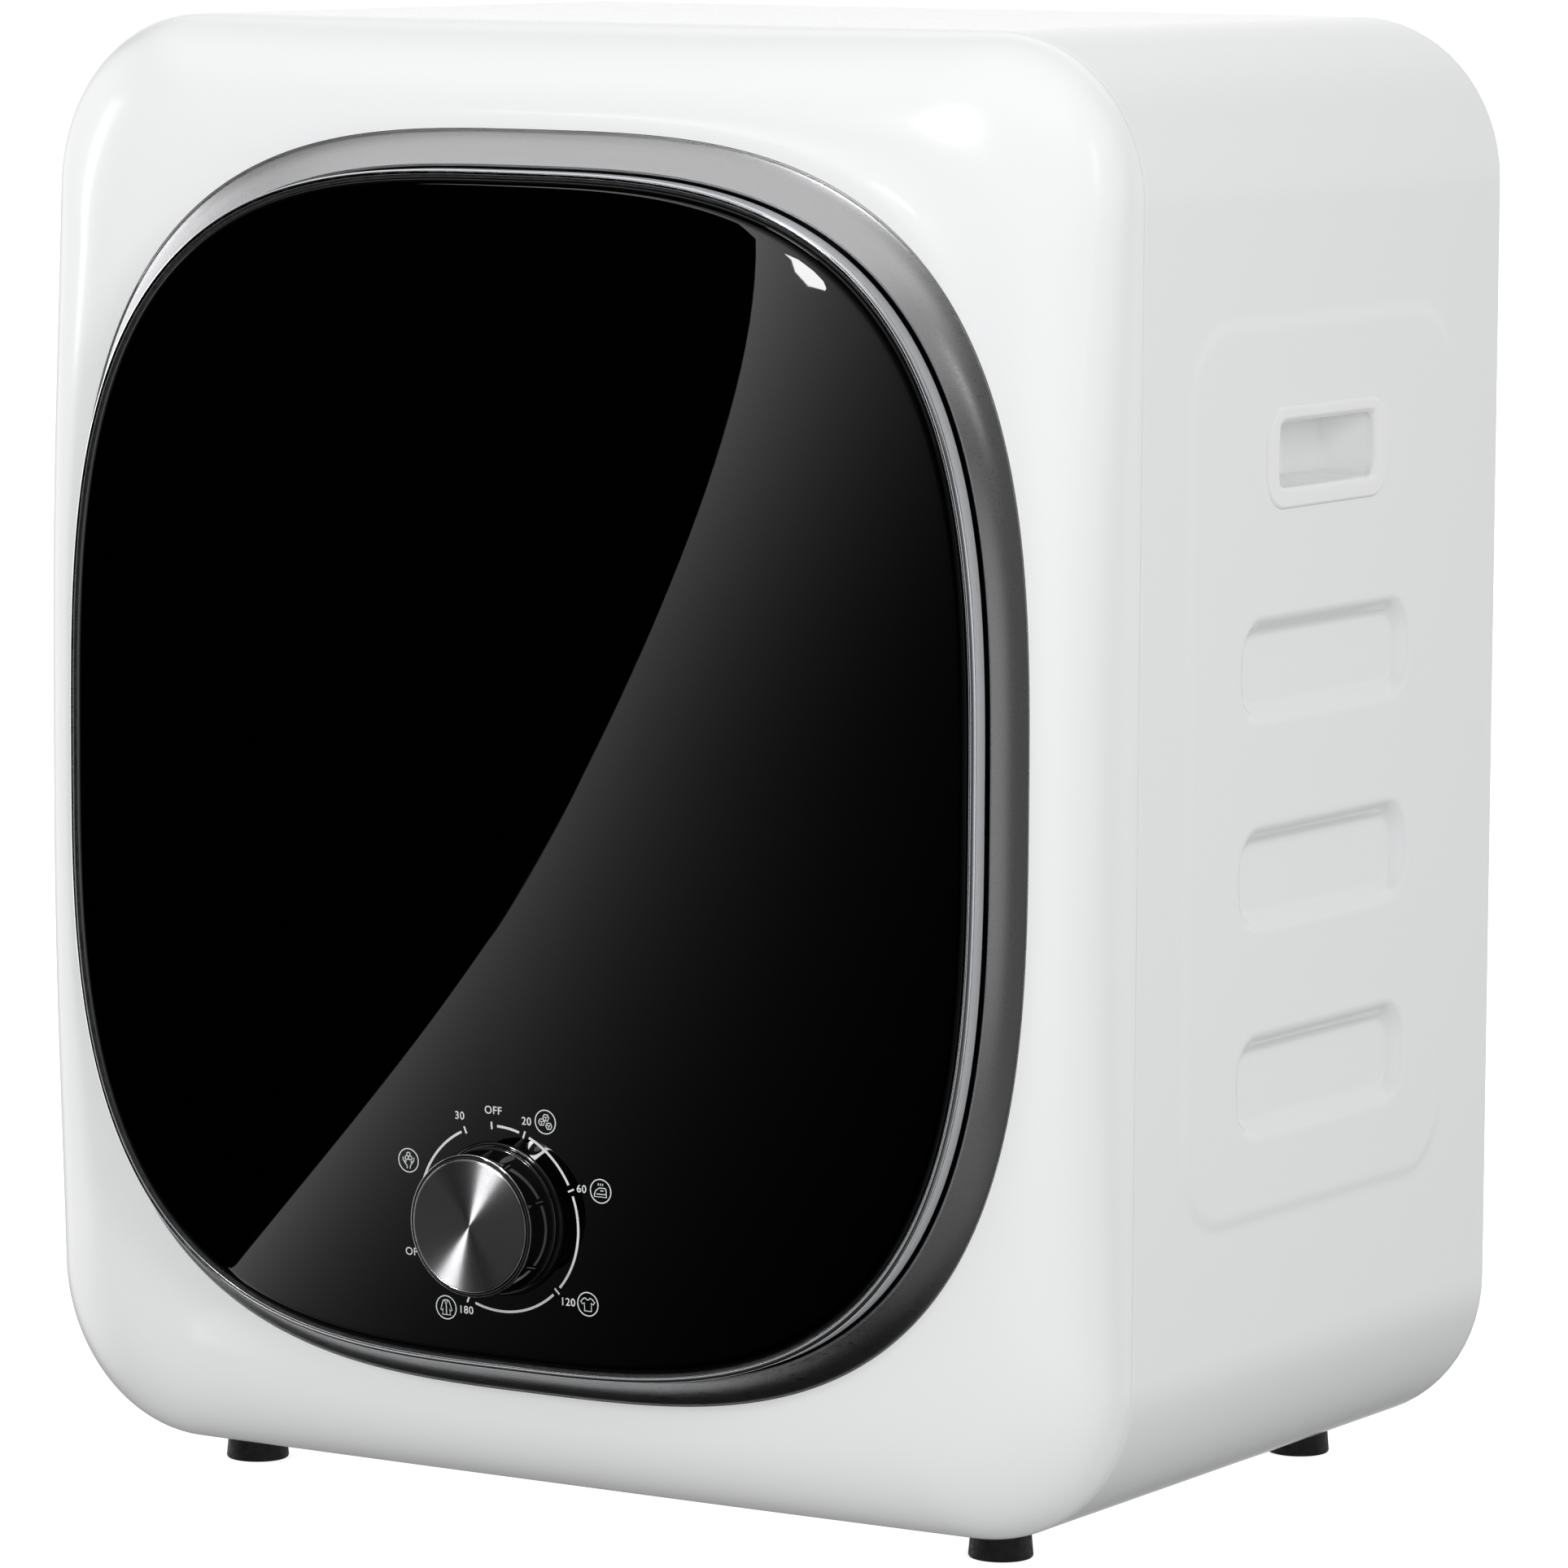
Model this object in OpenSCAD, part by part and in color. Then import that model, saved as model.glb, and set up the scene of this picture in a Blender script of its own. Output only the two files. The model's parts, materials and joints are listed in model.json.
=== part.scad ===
// Compact vented clothes dryer with a black glass door and a dial timer.
// Frame: +Z up, front faces -Y, origin on the floor under the middle of the outline.
// Inside every module, y is counted from the seam between wrapper and front panel.

/* [Cabinet] */
// Width of the cabinet across the side sheets
body_w = 506; // [500:1:520]
// Height of the cabinet without its feet
body_h = 590; // [585:1:610]
// Depth of the sheet wrapper behind the seam
wrap_d = 302; // [300:1:320]
// Radius of the four long corners of the cabinet
corner_r = 66; // [60:1:70]
// Thickness of the steel sheet
sheet_t = 1.2; // [0.8:0.1:1.5]
// Height of the rubber feet
foot_h = 13; // [10:1:20]
// Radius of a foot on the floor
foot_r = 13; // [12:0.5:14]
// Distance of each foot from the middle, across
foot_x = 180; // [175:1:182]

/* [Front] */
// How far the front panel bulges forward of the seam
panel_bulge = 37.2; // [36:0.2:38]
// Half width of the silver surround at its outer edge
surround_a = 226; // [224:0.5:227]
// Half height of the silver surround at its outer edge
surround_b = 252; // [251:0.5:254]
// Half width of the door glass
glass_a = 211; // [210:0.5:212]
// Half height of the door glass
glass_b = 235.7; // [234:0.1:236]
// Roundness of the door outline, 2 is an ellipse
squircle_n = 3.1; // [2.9:0.1:3.3]
// Distance of the glass rim in front of the seam
glass_rim = 58.4; // [58:0.1:59]
// How far the middle of the glass stands in front of its rim
glass_crown = 10; // [8:0.5:11]
// Thickness of the door glass
glass_t = 4; // [3:0.5:4]

/* [Dial] */
// Height of the dial's middle above the floor
dial_z = 131; // [129:1:135]
// Radius of the knob's skirt
knob_r = 29.2; // [27:0.1:29.5]
// Distance of the knob's face in front of the seam
knob_front = 84; // [82:0.5:86]

/* [Drum] */
// Outer radius of the drum
drum_r = 215; // [214:0.5:215]
// Height of the drum's middle above the floor
drum_z = 362; // [361:1:364]
// Inner radius of the loading throat
throat_r = 152; // [150:0.5:152]

/* [Drive and air] */
// Place of the motor shaft across the cabinet
motor_x = 60; // [58:1:62]
// Height of the motor shaft above the floor
motor_z = 82; // [80:1:84]
// Outer radius of the exhaust collar, for a 100 mm hose
collar_r = 50; // [50:0.5:51]
// Length of the exhaust collar behind the cabinet
collar_len = 24; // [20:1:30]

/* [Hidden] */
$fn = 96;

overall_d = knob_front + wrap_d + collar_len;
// Place of the seam plane, so that the origin is under the middle of the outline
seam_y = knob_front - overall_d / 2;
half_w = body_w / 2;
half_h = body_h / 2;
body_z = foot_h + half_h;
in_x = half_w - sheet_t;
floor_z = foot_h + sheet_t;

// Door outline, its middle and the steps between its rings
door_z = 307.5;
surround_z = 309;
trim_w = 2.7;
trim_back = 49.5;
well_gap = 1.3;
flank_back = 47.5;
well_y = -28;
well_t = 2.5;

// Door hinge axis, kept inside the width of the door's own edge
hinge_x = -210.5;
hinge_y = -51.4;
knuckle_r = 2.6;
knuckle_len = 20;

// Planes from front to back, measured from the seam
bulkhead_y = 6;
drum_front_y = 22;
drum_back_y = 262;
rear_bulkhead_y = 270;
cover_y = 298.4;
belt_y = 197;

// Belt drive: the pulleys' radii give whole ratios to the drum
belt_t = 1.5;
belt_w = 9;
belt_gap = 0.3;
pulley_r = drum_r / 25;
idler_r = drum_r / 20;

// Side pressings: the handle cup is the first of a column of four
side_y = 151;
side_z = 434;
side_pitch = 83;
cup_l = 103;
cup_h = 41;
cup_deep = 23;
dimple_l = 142;
dimple_h = 41;
dimple_deep = 4;

duct_x = -110;
duct_z = 83;
fan_house_r = 60;

// Feet, measured back from the seam
foot_y_front = 26;
foot_y_back = wrap_d - 26;

// Latch and door switch, both behind the well panel
latch_x = 200.5;
switch_x = 170;
switch_z = 200;

// ---- helpers -------------------------------------------------------------
module place() translate([0, seam_y, 0]) children();

// A flat outline in X and Z, pushed out from y0 to y1
module slab_y(y0, y1) translate([0, y1, 0]) rotate([90, 0, 0]) linear_extrude(y1 - y0) children();

// A round bar along Y
module rod_y(x, z, r, y0, y1) translate([x, y0, z]) rotate([-90, 0, 0]) cylinder(r = r, h = y1 - y0);

// A round tube along Y
module tube_y(x, z, r, bore, y0, y1) {
    difference() {
        rod_y(x, z, r, y0, y1);
        rod_y(x, z, bore, y0 - 1, y1 + 1);
    }
}

// A box from its lowest to its highest corner
module box(lo, hi) translate(lo) cube(hi - lo);

// Points of a rectangle with round corners, centred, n steps to a corner
function rounded(a, b, r, n = 8) = [
    for (q = [0:3], i = [0:n])
        let (t = 90 * q + 90 * i / n, sx = (q == 0 || q == 3) ? 1 : -1, sz = q < 2 ? 1 : -1)
            [sx * (a - r) + r * cos(t), sz * (b - r) + r * sin(t)]
];

// Radius of a squircle on the ray at angle t
function squircle_r(t, a, b) =
    pow(pow(abs(cos(t)) / a, squircle_n) + pow(abs(sin(t)) / b, squircle_n), -1 / squircle_n);

// Points of a squircle round its middle
squircle_steps = 96;
function squircle(a, b) = [
    for (i = [0:squircle_steps - 1])
        let (t = 360 * i / squircle_steps, r = squircle_r(t, a, b)) [r * cos(t), r * sin(t)]
];

// A ring-shaped shell: each section point is [growth across, y, growth up, rise of its middle],
// counted from the outline of the glass
module squircle_ring(section) {
    m = squircle_steps;
    n = len(section);
    points = [
        for (s = section, p = squircle(glass_a + s[0], glass_b + s[2])) [p[0], s[1], p[1] + door_z + s[3]]
    ];
    faces = [
        for (i = [0:n - 1], k = [0:m - 1])
            let (j = (i + 1) % n, l = (k + 1) % m)
                each [[i * m + k, j * m + k, j * m + l], [i * m + k, j * m + l, i * m + l]]
    ];
    polyhedron(points, faces, convexity = 8);
}

// A section point that is the same distance from the glass all round
function even(growth, y) = [growth, y, growth, 0];

// A flat squircle plate, inset from the glass outline
module squircle_slab(inset, y0, y1) {
    slab_y(y0, y1) translate([0, door_z]) polygon(squircle(glass_a - inset, glass_b - inset));
}

// A flat plate that fits inside the wrapper
module inner_plate(y0, y1, gap = 0.4) {
    r = corner_r - sheet_t - gap;
    slab_y(y0, y1) translate([0, body_z]) polygon(rounded(in_x - gap, half_h - sheet_t - gap, r));
}

// ---- cabinet shells --------------------------------------------------------
// One straight side of the wrapper, its mid-plane spans the flat between two corners
module side_sheet(sx) {
    x0 = sx > 0 ? in_x : -half_w;
    box([x0, 0, foot_h + corner_r], [x0 + sheet_t, wrap_d, foot_h + body_h - corner_r]);
}

module pressing(sx, z, grow, deep, out) {
    x0 = sx > 0 ? half_w - deep : -half_w - out;
    translate([x0, side_y, z]) rotate([90, 0, 90]) linear_extrude(deep + out)
        polygon(rounded(dimple_l / 2 + grow, dimple_h / 2 + grow, dimple_h / 2 + grow - 2, 6));
}

module cabinet_wrap() color("white") place() {
    flat_x = half_w - corner_r;
    difference() {
        union() {
            for (sx = [-1, 1]) {
                side_sheet(sx);
                for (i = [1:3]) pressing(sx, side_z - i * side_pitch, sheet_t, dimple_deep + sheet_t, 0);
            }
            for (z = [foot_h, foot_h + body_h - sheet_t])
                box([-flat_x, 0, z], [flat_x, wrap_d, z + sheet_t]);
            for (sx = [-1, 1], sz = [-1, 1])
                translate([sx * flat_x, 0, body_z + sz * (half_h - corner_r)]) rotate([-90, 0, 0])
                    rotate_extrude(angle = 90, start = sx > 0 ? (sz > 0 ? 270 : 0) : (sz > 0 ? 180 : 90))
                        translate([corner_r - sheet_t, 0]) square([sheet_t, wrap_d]);
            // Flanges that the rear cover is screwed to
            for (z = [floor_z, foot_h + body_h - sheet_t - 14])
                box([-flat_x, cover_y - sheet_t, z], [flat_x, cover_y, z + 14]);
        }
        for (sx = [-1, 1]) {
            for (i = [1:3]) pressing(sx, side_z - i * side_pitch, 0, dimple_deep, 1);
            box([sx * half_w - 3, side_y - 46, side_z - 16], [sx * half_w + 3, side_y + 46, side_z + 16]);
        }
        for (x = [-foot_x, foot_x], y = [foot_y_front, foot_y_back])
            translate([x, y, foot_h - 1]) cylinder(r = 3.2, h = 4);
        rear_screw_holes(2.3);
    }
}

module rear_screw_holes(r) {
    for (x = [-150, -50, 50, 150], z = [floor_z + 7, foot_h + body_h - sheet_t - 7])
        rod_y(x, z, r, cover_y - 3, cover_y + 4);
}

// Points of the seam outline, dense enough on its straight sides to follow the surround
corner_steps = 7;
side_steps = 12;
function arc_points(q) = [
    for (i = [0:corner_steps])
        let (t = 90 * q + 90 * i / corner_steps, sx = (q == 0 || q == 3) ? 1 : -1, sz = q < 2 ? 1 : -1)
            [sx * (half_w - corner_r) + corner_r * cos(t), sz * (half_h - corner_r) + corner_r * sin(t)]
];
function side_points(q) =
    let (a = arc_points(q)[corner_steps], b = arc_points((q + 1) % 4)[0])
        [for (i = [1:side_steps - 1]) a + (b - a) * i / side_steps];
panel_seam = [for (q = [0:3]) each concat(arc_points(q), side_points(q))];

// Angle and length of the ray from the surround's middle to each point of the seam
panel_rays = [
    for (p = panel_seam)
        let (d = [p[0], p[1] + body_z - surround_z]) [atan2(d[1], d[0]), norm(d)]
];

// One ring of the bulging front: u runs from the seam, 0, to the surround, 1
function panel_ring(u, t) = [
    for (ray = panel_rays)
        let (
            edge = squircle_r(ray[0], surround_a + 0.4, surround_b + 0.4),
            r = (ray[1] - t) * (1 - u) + edge * u,
            y = -(panel_bulge - t) * sqrt(1 - pow(1 - u, 2)) - 0.6
        )
            [r * cos(ray[0]), y, r * sin(ray[0]) + surround_z]
];

module front_panel() color("white") place() {
    steps = [0, 0.03, 0.1, 0.2, 0.33, 0.48, 0.65, 0.82, 1];
    rings = concat(
        [for (u = steps) panel_ring(u, 0)],
        [for (i = [len(steps) - 1:-1:0]) panel_ring(steps[i], 3)]
    );
    m = len(panel_rays);
    n = len(rings);
    faces = [
        for (i = [0:n - 1], k = [0:m - 1])
            let (j = (i + 1) % n, l = (k + 1) % m)
                each [[i * m + k, j * m + k, j * m + l], [i * m + k, j * m + l, i * m + l]]
    ];
    polyhedron([for (ring = rings) each ring], faces, convexity = 8);
}

module door_surround() color("silver") place() {
    across = surround_a - glass_a;
    up = surround_b - glass_b;
    rise = surround_z - door_z;
    lip = trim_w + well_gap;
    squircle_ring([
        [across, -panel_bulge, up, rise], even(lip + 0.6, -flank_back), even(lip - 1.2, -flank_back),
        even(lip - 1.2, well_y + 1.2), even(lip + 1.2, well_y + 1.2), even(lip + 1.2, -flank_back + 4),
        [across - 2, -panel_bulge + 2, up - 2, rise]
    ]);
}

module well_panel() color("lightgray") place() {
    difference() {
        squircle_slab(-1.2, well_y, well_y + well_t);
        rod_y(0, drum_z, throat_r, well_y - 1, well_y + 4);
        box([latch_x - 6, well_y - 1, 294], [latch_x + 7, well_y + 4, 320]);
        rod_y(switch_x, switch_z, 3.6, well_y - 1, well_y + 4);
    }
}

// Tube from the well into the drum, slotted below for the lint filter
module throat_tube() color("lightgray") place() {
    difference() {
        tube_y(0, drum_z, throat_r + 2.5, throat_r, well_y + well_t, 18);
        box([-64, -15.5, drum_z - throat_r - 6], [64, -2.5, drum_z - 120]);
    }
}

module throat_felt() color("darkkhaki") place() tube_y(0, drum_z, throat_r + 11.4, throat_r + 2.6, 12, 17.5);

module front_bulkhead() color("lightsteelblue") place() {
    difference() {
        inner_plate(bulkhead_y, bulkhead_y + sheet_t);
        rod_y(0, drum_z, throat_r + 3, 0, 12);
        rod_y(motor_x, motor_z, 34.4, 0, 12);
    }
}

module rear_bulkhead() color("lightsteelblue") place() {
    y = rear_bulkhead_y;
    difference() {
        inner_plate(y, y + sheet_t);
        rod_y(0, drum_z, 14.1, y - 1, y + 3);
        rod_y(duct_x, duct_z, collar_r + 0.6, y - 1, y + 3);
        for (i = [0:5], k = [0:3])
            box([-184 + 20 * i, y - 1, 300 + 33 * k], [-172 + 20 * i, y + 3, 322 + 33 * k]);
    }
}

module bearing_housing() color("gray") place() {
    y = rear_bulkhead_y + sheet_t;
    difference() {
        union() {
            rod_y(0, drum_z, 26, y, y + 18);
            rod_y(0, drum_z, 40, y, y + 3);
        }
        rod_y(0, drum_z, 14, y - 1, y + 20);
        for (t = [45:90:315]) rod_y(33 * cos(t), drum_z + 33 * sin(t), 2.6, y - 1, y + 5);
    }
}

module bearing_sleeve() color("goldenrod") place()
    tube_y(0, drum_z, 14, 8.05, rear_bulkhead_y - 1, rear_bulkhead_y + 19);

module rear_felt() color("darkkhaki") place()
    tube_y(0, drum_z, 208, 198, drum_back_y + 0.6, rear_bulkhead_y);

module rear_cover() color("gainsboro") place() {
    y = cover_y;
    difference() {
        inner_plate(y, y + sheet_t, 0.6);
        rod_y(duct_x, duct_z, collar_r + 0.6, y - 1, y + 3);
        rod_y(150, 60, 8.2, y - 1, y + 3);
        for (x = [-190, 190], z = [body_z - 190, body_z + 190]) rod_y(x, z, 3.3, y - 1, y + 3);
        for (i = [0:3], k = [0:8])
            box([-190 + 34 * i, y - 1, 298 + 15 * k], [-162 + 34 * i, y + 3, 303 + 15 * k]);
        for (k = [0:5]) box([40, y - 1, 130 + 15 * k], [110, y + 3, 135 + 15 * k]);
        rear_screw_holes(2.3);
    }
}

module rear_cover_screws() color("silver") place() {
    for (x = [-150, -50, 50, 150], z = [floor_z + 7, foot_h + body_h - sheet_t - 7]) {
        rod_y(x, z, 2.1, cover_y - 8, cover_y + sheet_t);
        rod_y(x, z, 4.2, cover_y + sheet_t, cover_y + sheet_t + 2.2);
    }
}

module wall_bushes() color("silver") place() {
    for (x = [-190, 190], z = [body_z - 190, body_z + 190]) tube_y(x, z, 6, 3.3, cover_y - 16, cover_y);
}

// ---- air path --------------------------------------------------------------
module exhaust_collar() color("dimgray") place() {
    y = cover_y + sheet_t;
    tube_y(duct_x, duct_z, collar_r, collar_r - 2, y - 8, wrap_d + collar_len);
    tube_y(duct_x, duct_z, collar_r + 8, collar_r, y, y + 2);
}

module exhaust_duct() color("slategray") place() {
    x0 = duct_x - 52;
    x1 = duct_x + 52;
    difference() {
        union() {
            box([x0, 22, duct_z - 52], [x1, 58, duct_z + 52]);
            rod_y(duct_x, duct_z, collar_r, 50, cover_y + sheet_t - 8.2);
        }
        box([x0 + 2, 24, duct_z - 50], [x1 - 2, 56, duct_z + 50]);
        box([x1 - 3, 26, duct_z - 50], [x1 + 1, 54, duct_z - 12]);
        rod_y(duct_x, duct_z, collar_r - 2, 55, cover_y);
    }
}

// Box that the fan throws into, from the exhaust duct to the round housing
module outlet_box(x0, x1, grow) {
    box([x0, 26 - grow, duct_z - 50 - grow], [x1, 54 + grow, duct_z - 12 + grow]);
}

module fan_housing() color("slategray") place() {
    difference() {
        rod_y(motor_x, motor_z, fan_house_r, 20, 60);
        rod_y(motor_x, motor_z, fan_house_r - 2, 22, 58);
        outlet_box(duct_x + 52, motor_x - 20, 0);
        rod_y(motor_x, motor_z, 31, 18, 24);
        rod_y(motor_x, motor_z, 6, 56, 62);
    }
}

module fan_outlet() color("slategray") place() {
    difference() {
        outlet_box(duct_x + 52.2, motor_x - 20, 2);
        outlet_box(duct_x + 52, motor_x, 0);
        rod_y(motor_x, motor_z, fan_house_r, 10, 70);
    }
}

module air_duct() color("slategray") place() {
    difference() {
        union() {
            box([-72, -20, 44], [100, 2, 230]);
            rod_y(motor_x, motor_z, 34, 0, 19.6);
        }
        box([-70, -18, 46], [98, 0, 228]);
        box([-64, -18, 226], [64, 0, 231]);
        rod_y(motor_x, motor_z, 32, -1, 21);
        rod_y(0, drum_z, throat_r + 2.7, -22, 4);
    }
}

module heater_housing() color("silver") place() {
    y = rear_bulkhead_y + sheet_t;
    difference() {
        box([-196, y, 290], [-56, cover_y - 0.2, 434]);
        box([-194.5, y - 1, 291.5], [-57.5, cover_y + 1, 432.5]);
    }
}

module heater_element() color("darkorange") place() {
    y = 279;
    difference() {
        box([-194, y, 292], [-58, y + 12, 432]);
        for (i = [0:7]) box([-186 + 15.5 * i, y - 1, 300], [-178 + 15.5 * i, y + 13, 424]);
    }
}

module thermostats() color("black") place() {
    for (x = [-160, -100]) {
        translate([x, 285, 434.2]) cylinder(r = 8, h = 9);
        translate([x, 285, 443.2]) cylinder(r = 5, h = 4);
    }
}

// ---- drive -----------------------------------------------------------------
module motor_body() color("steelblue") place() {
    difference() {
        union() {
            rod_y(motor_x, motor_z, 44, 74, 158);
            rod_y(motor_x, motor_z, 36, 68, 164);
        }
        rod_y(motor_x, motor_z, 4.05, 60, 170);
    }
}

// One pressed base for the motor and for the pivot of the idler arm
module motor_cradle() color("gray") place() {
    difference() {
        union() {
            box([motor_x - 52, 84, floor_z], [motor_x + 52, 148, floor_z + 2]);
            for (y = [90, 136]) box([motor_x - 40, y, floor_z + 1], [motor_x + 40, y + 6, motor_z - 12]);
            box([-58, 140, floor_z], [motor_x - 46, 176, floor_z + 2]);
            box([-58, 172, floor_z + 1], [-22, 176, 62]);
            rod_y(-40, 50, 4, 174, 185.5);
        }
        rod_y(motor_x, motor_z, 44.2, 80, 150);
        for (x = [-46, 46], y = [98, 130])
            translate([motor_x + x, y, floor_z - 1]) cylinder(r = 3.2, h = 4);
    }
}

module run_capacitor() color("whitesmoke") place() {
    rod_y(160, 36, 17, 90, 152);
    for (x = [154, 166]) rod_y(x, 36, 2.5, 152, 160);
}

// Belt geometry: outer tangents of the drum and the motor pulley
drum_dx = motor_x;
drum_dz = motor_z - drum_z;
axle_gap = norm([drum_dx, drum_dz]);
axle_dir = atan2(drum_dz, drum_dx);
wrap_half = acos((drum_r - pulley_r) / axle_gap);
function belt_points(out) =
    let (r = drum_r + belt_gap + out, s = pulley_r + belt_gap + out, a0 = axle_dir + wrap_half)
        concat(
            [for (i = [0:60]) let (t = a0 + (360 - 2 * wrap_half) * i / 60) [r * cos(t), drum_z + r * sin(t)]],
            [for (i = [0:8])
                let (t = axle_dir - wrap_half + 2 * wrap_half * i / 8)
                    [motor_x + s * cos(t), motor_z + s * sin(t)]]
        );

module drive_belt() color("black") place() {
    slab_y(belt_y - belt_w / 2, belt_y + belt_w / 2) difference() {
        polygon(belt_points(belt_t));
        polygon(belt_points(0));
    }
}

// The idler touches the outside of the slack span, halfway along it
span_dir = axle_dir - wrap_half;
span_mid = [
    (drum_r * cos(span_dir) + motor_x + pulley_r * cos(span_dir)) / 2,
    (drum_z + drum_r * sin(span_dir) + motor_z + pulley_r * sin(span_dir)) / 2
];
idler_off = belt_gap + belt_t + idler_r + 0.3;
idler_x = span_mid[0] + idler_off * cos(span_dir);
idler_z = span_mid[1] + idler_off * sin(span_dir);

module idler_arm() color("silver") place() {
    length = norm([idler_x + 40, idler_z - 50]);
    difference() {
        union() {
            rod_y(-40, 50, 9, 180, 184);
            rod_y(idler_x, idler_z, 8, 180, 184);
            translate([-40, 180.6, 50]) rotate([0, -atan2(idler_z - 50, idler_x + 40), 0])
                translate([6, 0, -5]) cube([length - 8, 2.8, 10]);
            rod_y(idler_x, idler_z, 4, 183, 206);
        }
        rod_y(-40, 50, 4.06, 170, 190);
    }
}

module idler_pulley() color("dimgray") place() tube_y(idler_x, idler_z, idler_r, 4.06, 190, 204);

module rotor_shaft() color("silver") place() rod_y(motor_x, motor_z, 4, 26, 208);

module motor_pulley() color("dimgray") place() {
    translate([motor_x, 188, motor_z]) rotate([-90, 0, 0]) rotate_extrude() polygon([
        [4, 0], [12, 0], [12, 2], [pulley_r, 3.5], [pulley_r, 14.5], [12, 16], [12, 18], [4, 18]
    ]);
}

module fan_wheel() color("dimgray") place() {
    difference() {
        union() {
            rod_y(motor_x, motor_z, 50, 50, 52);
            rod_y(motor_x, motor_z, 10, 30, 52);
            tube_y(motor_x, motor_z, 50, 40, 27, 29);
            for (i = [0:11])
                translate([motor_x, 28, motor_z]) rotate([0, 30 * i, 0]) translate([32, 0, -1]) cube([17, 23, 2]);
        }
        rod_y(motor_x, motor_z, 4, 20, 60);
    }
}

// ---- drum ------------------------------------------------------------------
module drum_shell() color("silver") place() {
    neck_r = throat_r + 13.2;
    translate([0, 0, drum_z]) rotate([-90, 0, 0]) rotate_extrude() polygon([
        [neck_r - sheet_t, 8.8], [neck_r, 8.8], [neck_r, drum_front_y], [drum_r, drum_front_y],
        [drum_r, drum_back_y], [drum_r - sheet_t, drum_back_y], [drum_r - sheet_t, drum_front_y + sheet_t],
        [neck_r - sheet_t, drum_front_y + sheet_t]
    ]);
}

module drum_back() color("silver") place() {
    y = drum_back_y - 4;
    difference() {
        rod_y(0, drum_z, drum_r - sheet_t, y, y + sheet_t);
        rod_y(0, drum_z, 8, y - 1, y + 3);
        for (ring = [[100, 20], [125, 24], [150, 28]], i = [0:ring[1] - 1])
            let (t = 360 * i / ring[1]) rod_y(ring[0] * cos(t), drum_z + ring[0] * sin(t), 5, y - 1, y + 3);
    }
}

module drum_baffles() color("whitesmoke") place() {
    foot = drum_r - sheet_t - 2.2;
    for (t = [90:120:330])
        translate([0, 0, drum_z]) rotate([0, -t, 0]) slab_y(drum_front_y + 8, drum_back_y - 8)
            polygon([[foot, -24], [foot, 24], [foot - 10, 16], [foot - 32, 5], [foot - 32, -5], [foot - 10, -16]]);
}

module drum_shaft() color("gray") place() {
    y = drum_back_y - 4 + sheet_t;
    rod_y(0, drum_z, 30, y, y + 3);
    rod_y(0, drum_z, 8, y - 6, rear_bulkhead_y + 21);
}

// ---- door ------------------------------------------------------------------
// Front of the glass at a fraction s of the way to its rim
function glass_front(s) = -glass_rim - glass_crown * (1 - s * s);
dial_seat_r = 31;

module door_glass() color("black") place() {
    steps = [0.12, 0.3, 0.5, 0.7, 0.86, 0.96, 1];
    m = squircle_steps;
    n = len(steps);
    rim = squircle(glass_a, glass_b);
    front = [for (s = steps, p = rim) [p[0] * s, glass_front(s), p[1] * s + door_z]];
    back = [for (s = steps, p = rim) [p[0] * s, glass_front(s) + glass_t, p[1] * s + door_z]];
    count = n * m;
    points = concat(front, back, [[0, glass_front(0), door_z], [0, glass_front(0) + glass_t, door_z]]);
    skin = [for (i = [0:n - 2], k = [0:m - 1]) let (l = (k + 1) % m) [i * m + k, i * m + l, i * m + m + l, i * m + m + k]];
    faces = concat(
        [for (f = skin) each [[f[0], f[3], f[2]], [f[0], f[2], f[1]]]],
        [for (f = skin) each [[f[0] + count, f[2] + count, f[3] + count], [f[0] + count, f[1] + count, f[2] + count]]],
        [for (k = [0:m - 1]) let (l = (k + 1) % m, e = count - m)
            each [[e + k, e + k + count, e + l + count], [e + k, e + l + count, e + l]]],
        [for (k = [0:m - 1]) let (l = (k + 1) % m)
            each [[2 * count, k, l], [2 * count + 1, l + count, k + count]]]
    );
    difference() {
        polyhedron(points, faces, convexity = 4);
        rod_y(0, dial_z, dial_seat_r + 0.2, -80, -50);
    }
}

module door_trim() color("silver") place() {
    section = [
        even(0.4, -glass_rim - 0.2), even(trim_w - 0.8, -glass_rim - 0.2), even(trim_w, -glass_rim + 1),
        even(trim_w, -trim_back), even(-9, -trim_back), even(-9, -glass_rim + 4.5), even(0.4, -glass_rim + 4.5)
    ];
    difference() {
        squircle_ring(section);
        box([hinge_x - 6, -glass_rim + 4.1, door_z - 53], [hinge_x + 10, -40, door_z + 53]);
    }
}

module door_frame() color("dimgray") place() {
    difference() {
        squircle_slab(9.6, -53.6, -trim_back);
        rod_y(0, dial_z, dial_seat_r + 1, -60, -40);
        box([-140, -60, 205], [140, -40, 475]);
        box([hinge_x, -50.4, door_z - 53], [-186, -48, door_z + 53]);
    }
}

module door_liner() color("gainsboro") place() {
    difference() {
        union() {
            squircle_slab(8, -trim_back + 0.2, -47);
            squircle_slab(14, -trim_back + 0.2, -31);
        }
        squircle_slab(16.5, -60, -33.5);
        box([hinge_x - 6, -55, door_z - 53], [-186, -46, door_z + 53]);
    }
}

module door_bowl() color("silver") place() {
    difference() {
        rod_y(0, drum_z, 138, -31, -22);
        rod_y(0, drum_z, 120, -32, -24);
    }
}

module door_gasket() color("dimgray") place() tube_y(0, drum_z, 165, 157, -31, -28.4);

module door_strike() color("silver") place() {
    difference() {
        box([latch_x - 1, -47, 298], [latch_x + 2, -14, 316]);
        box([latch_x - 2, -40, 303], [latch_x + 3, -32, 311]);
    }
}

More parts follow.
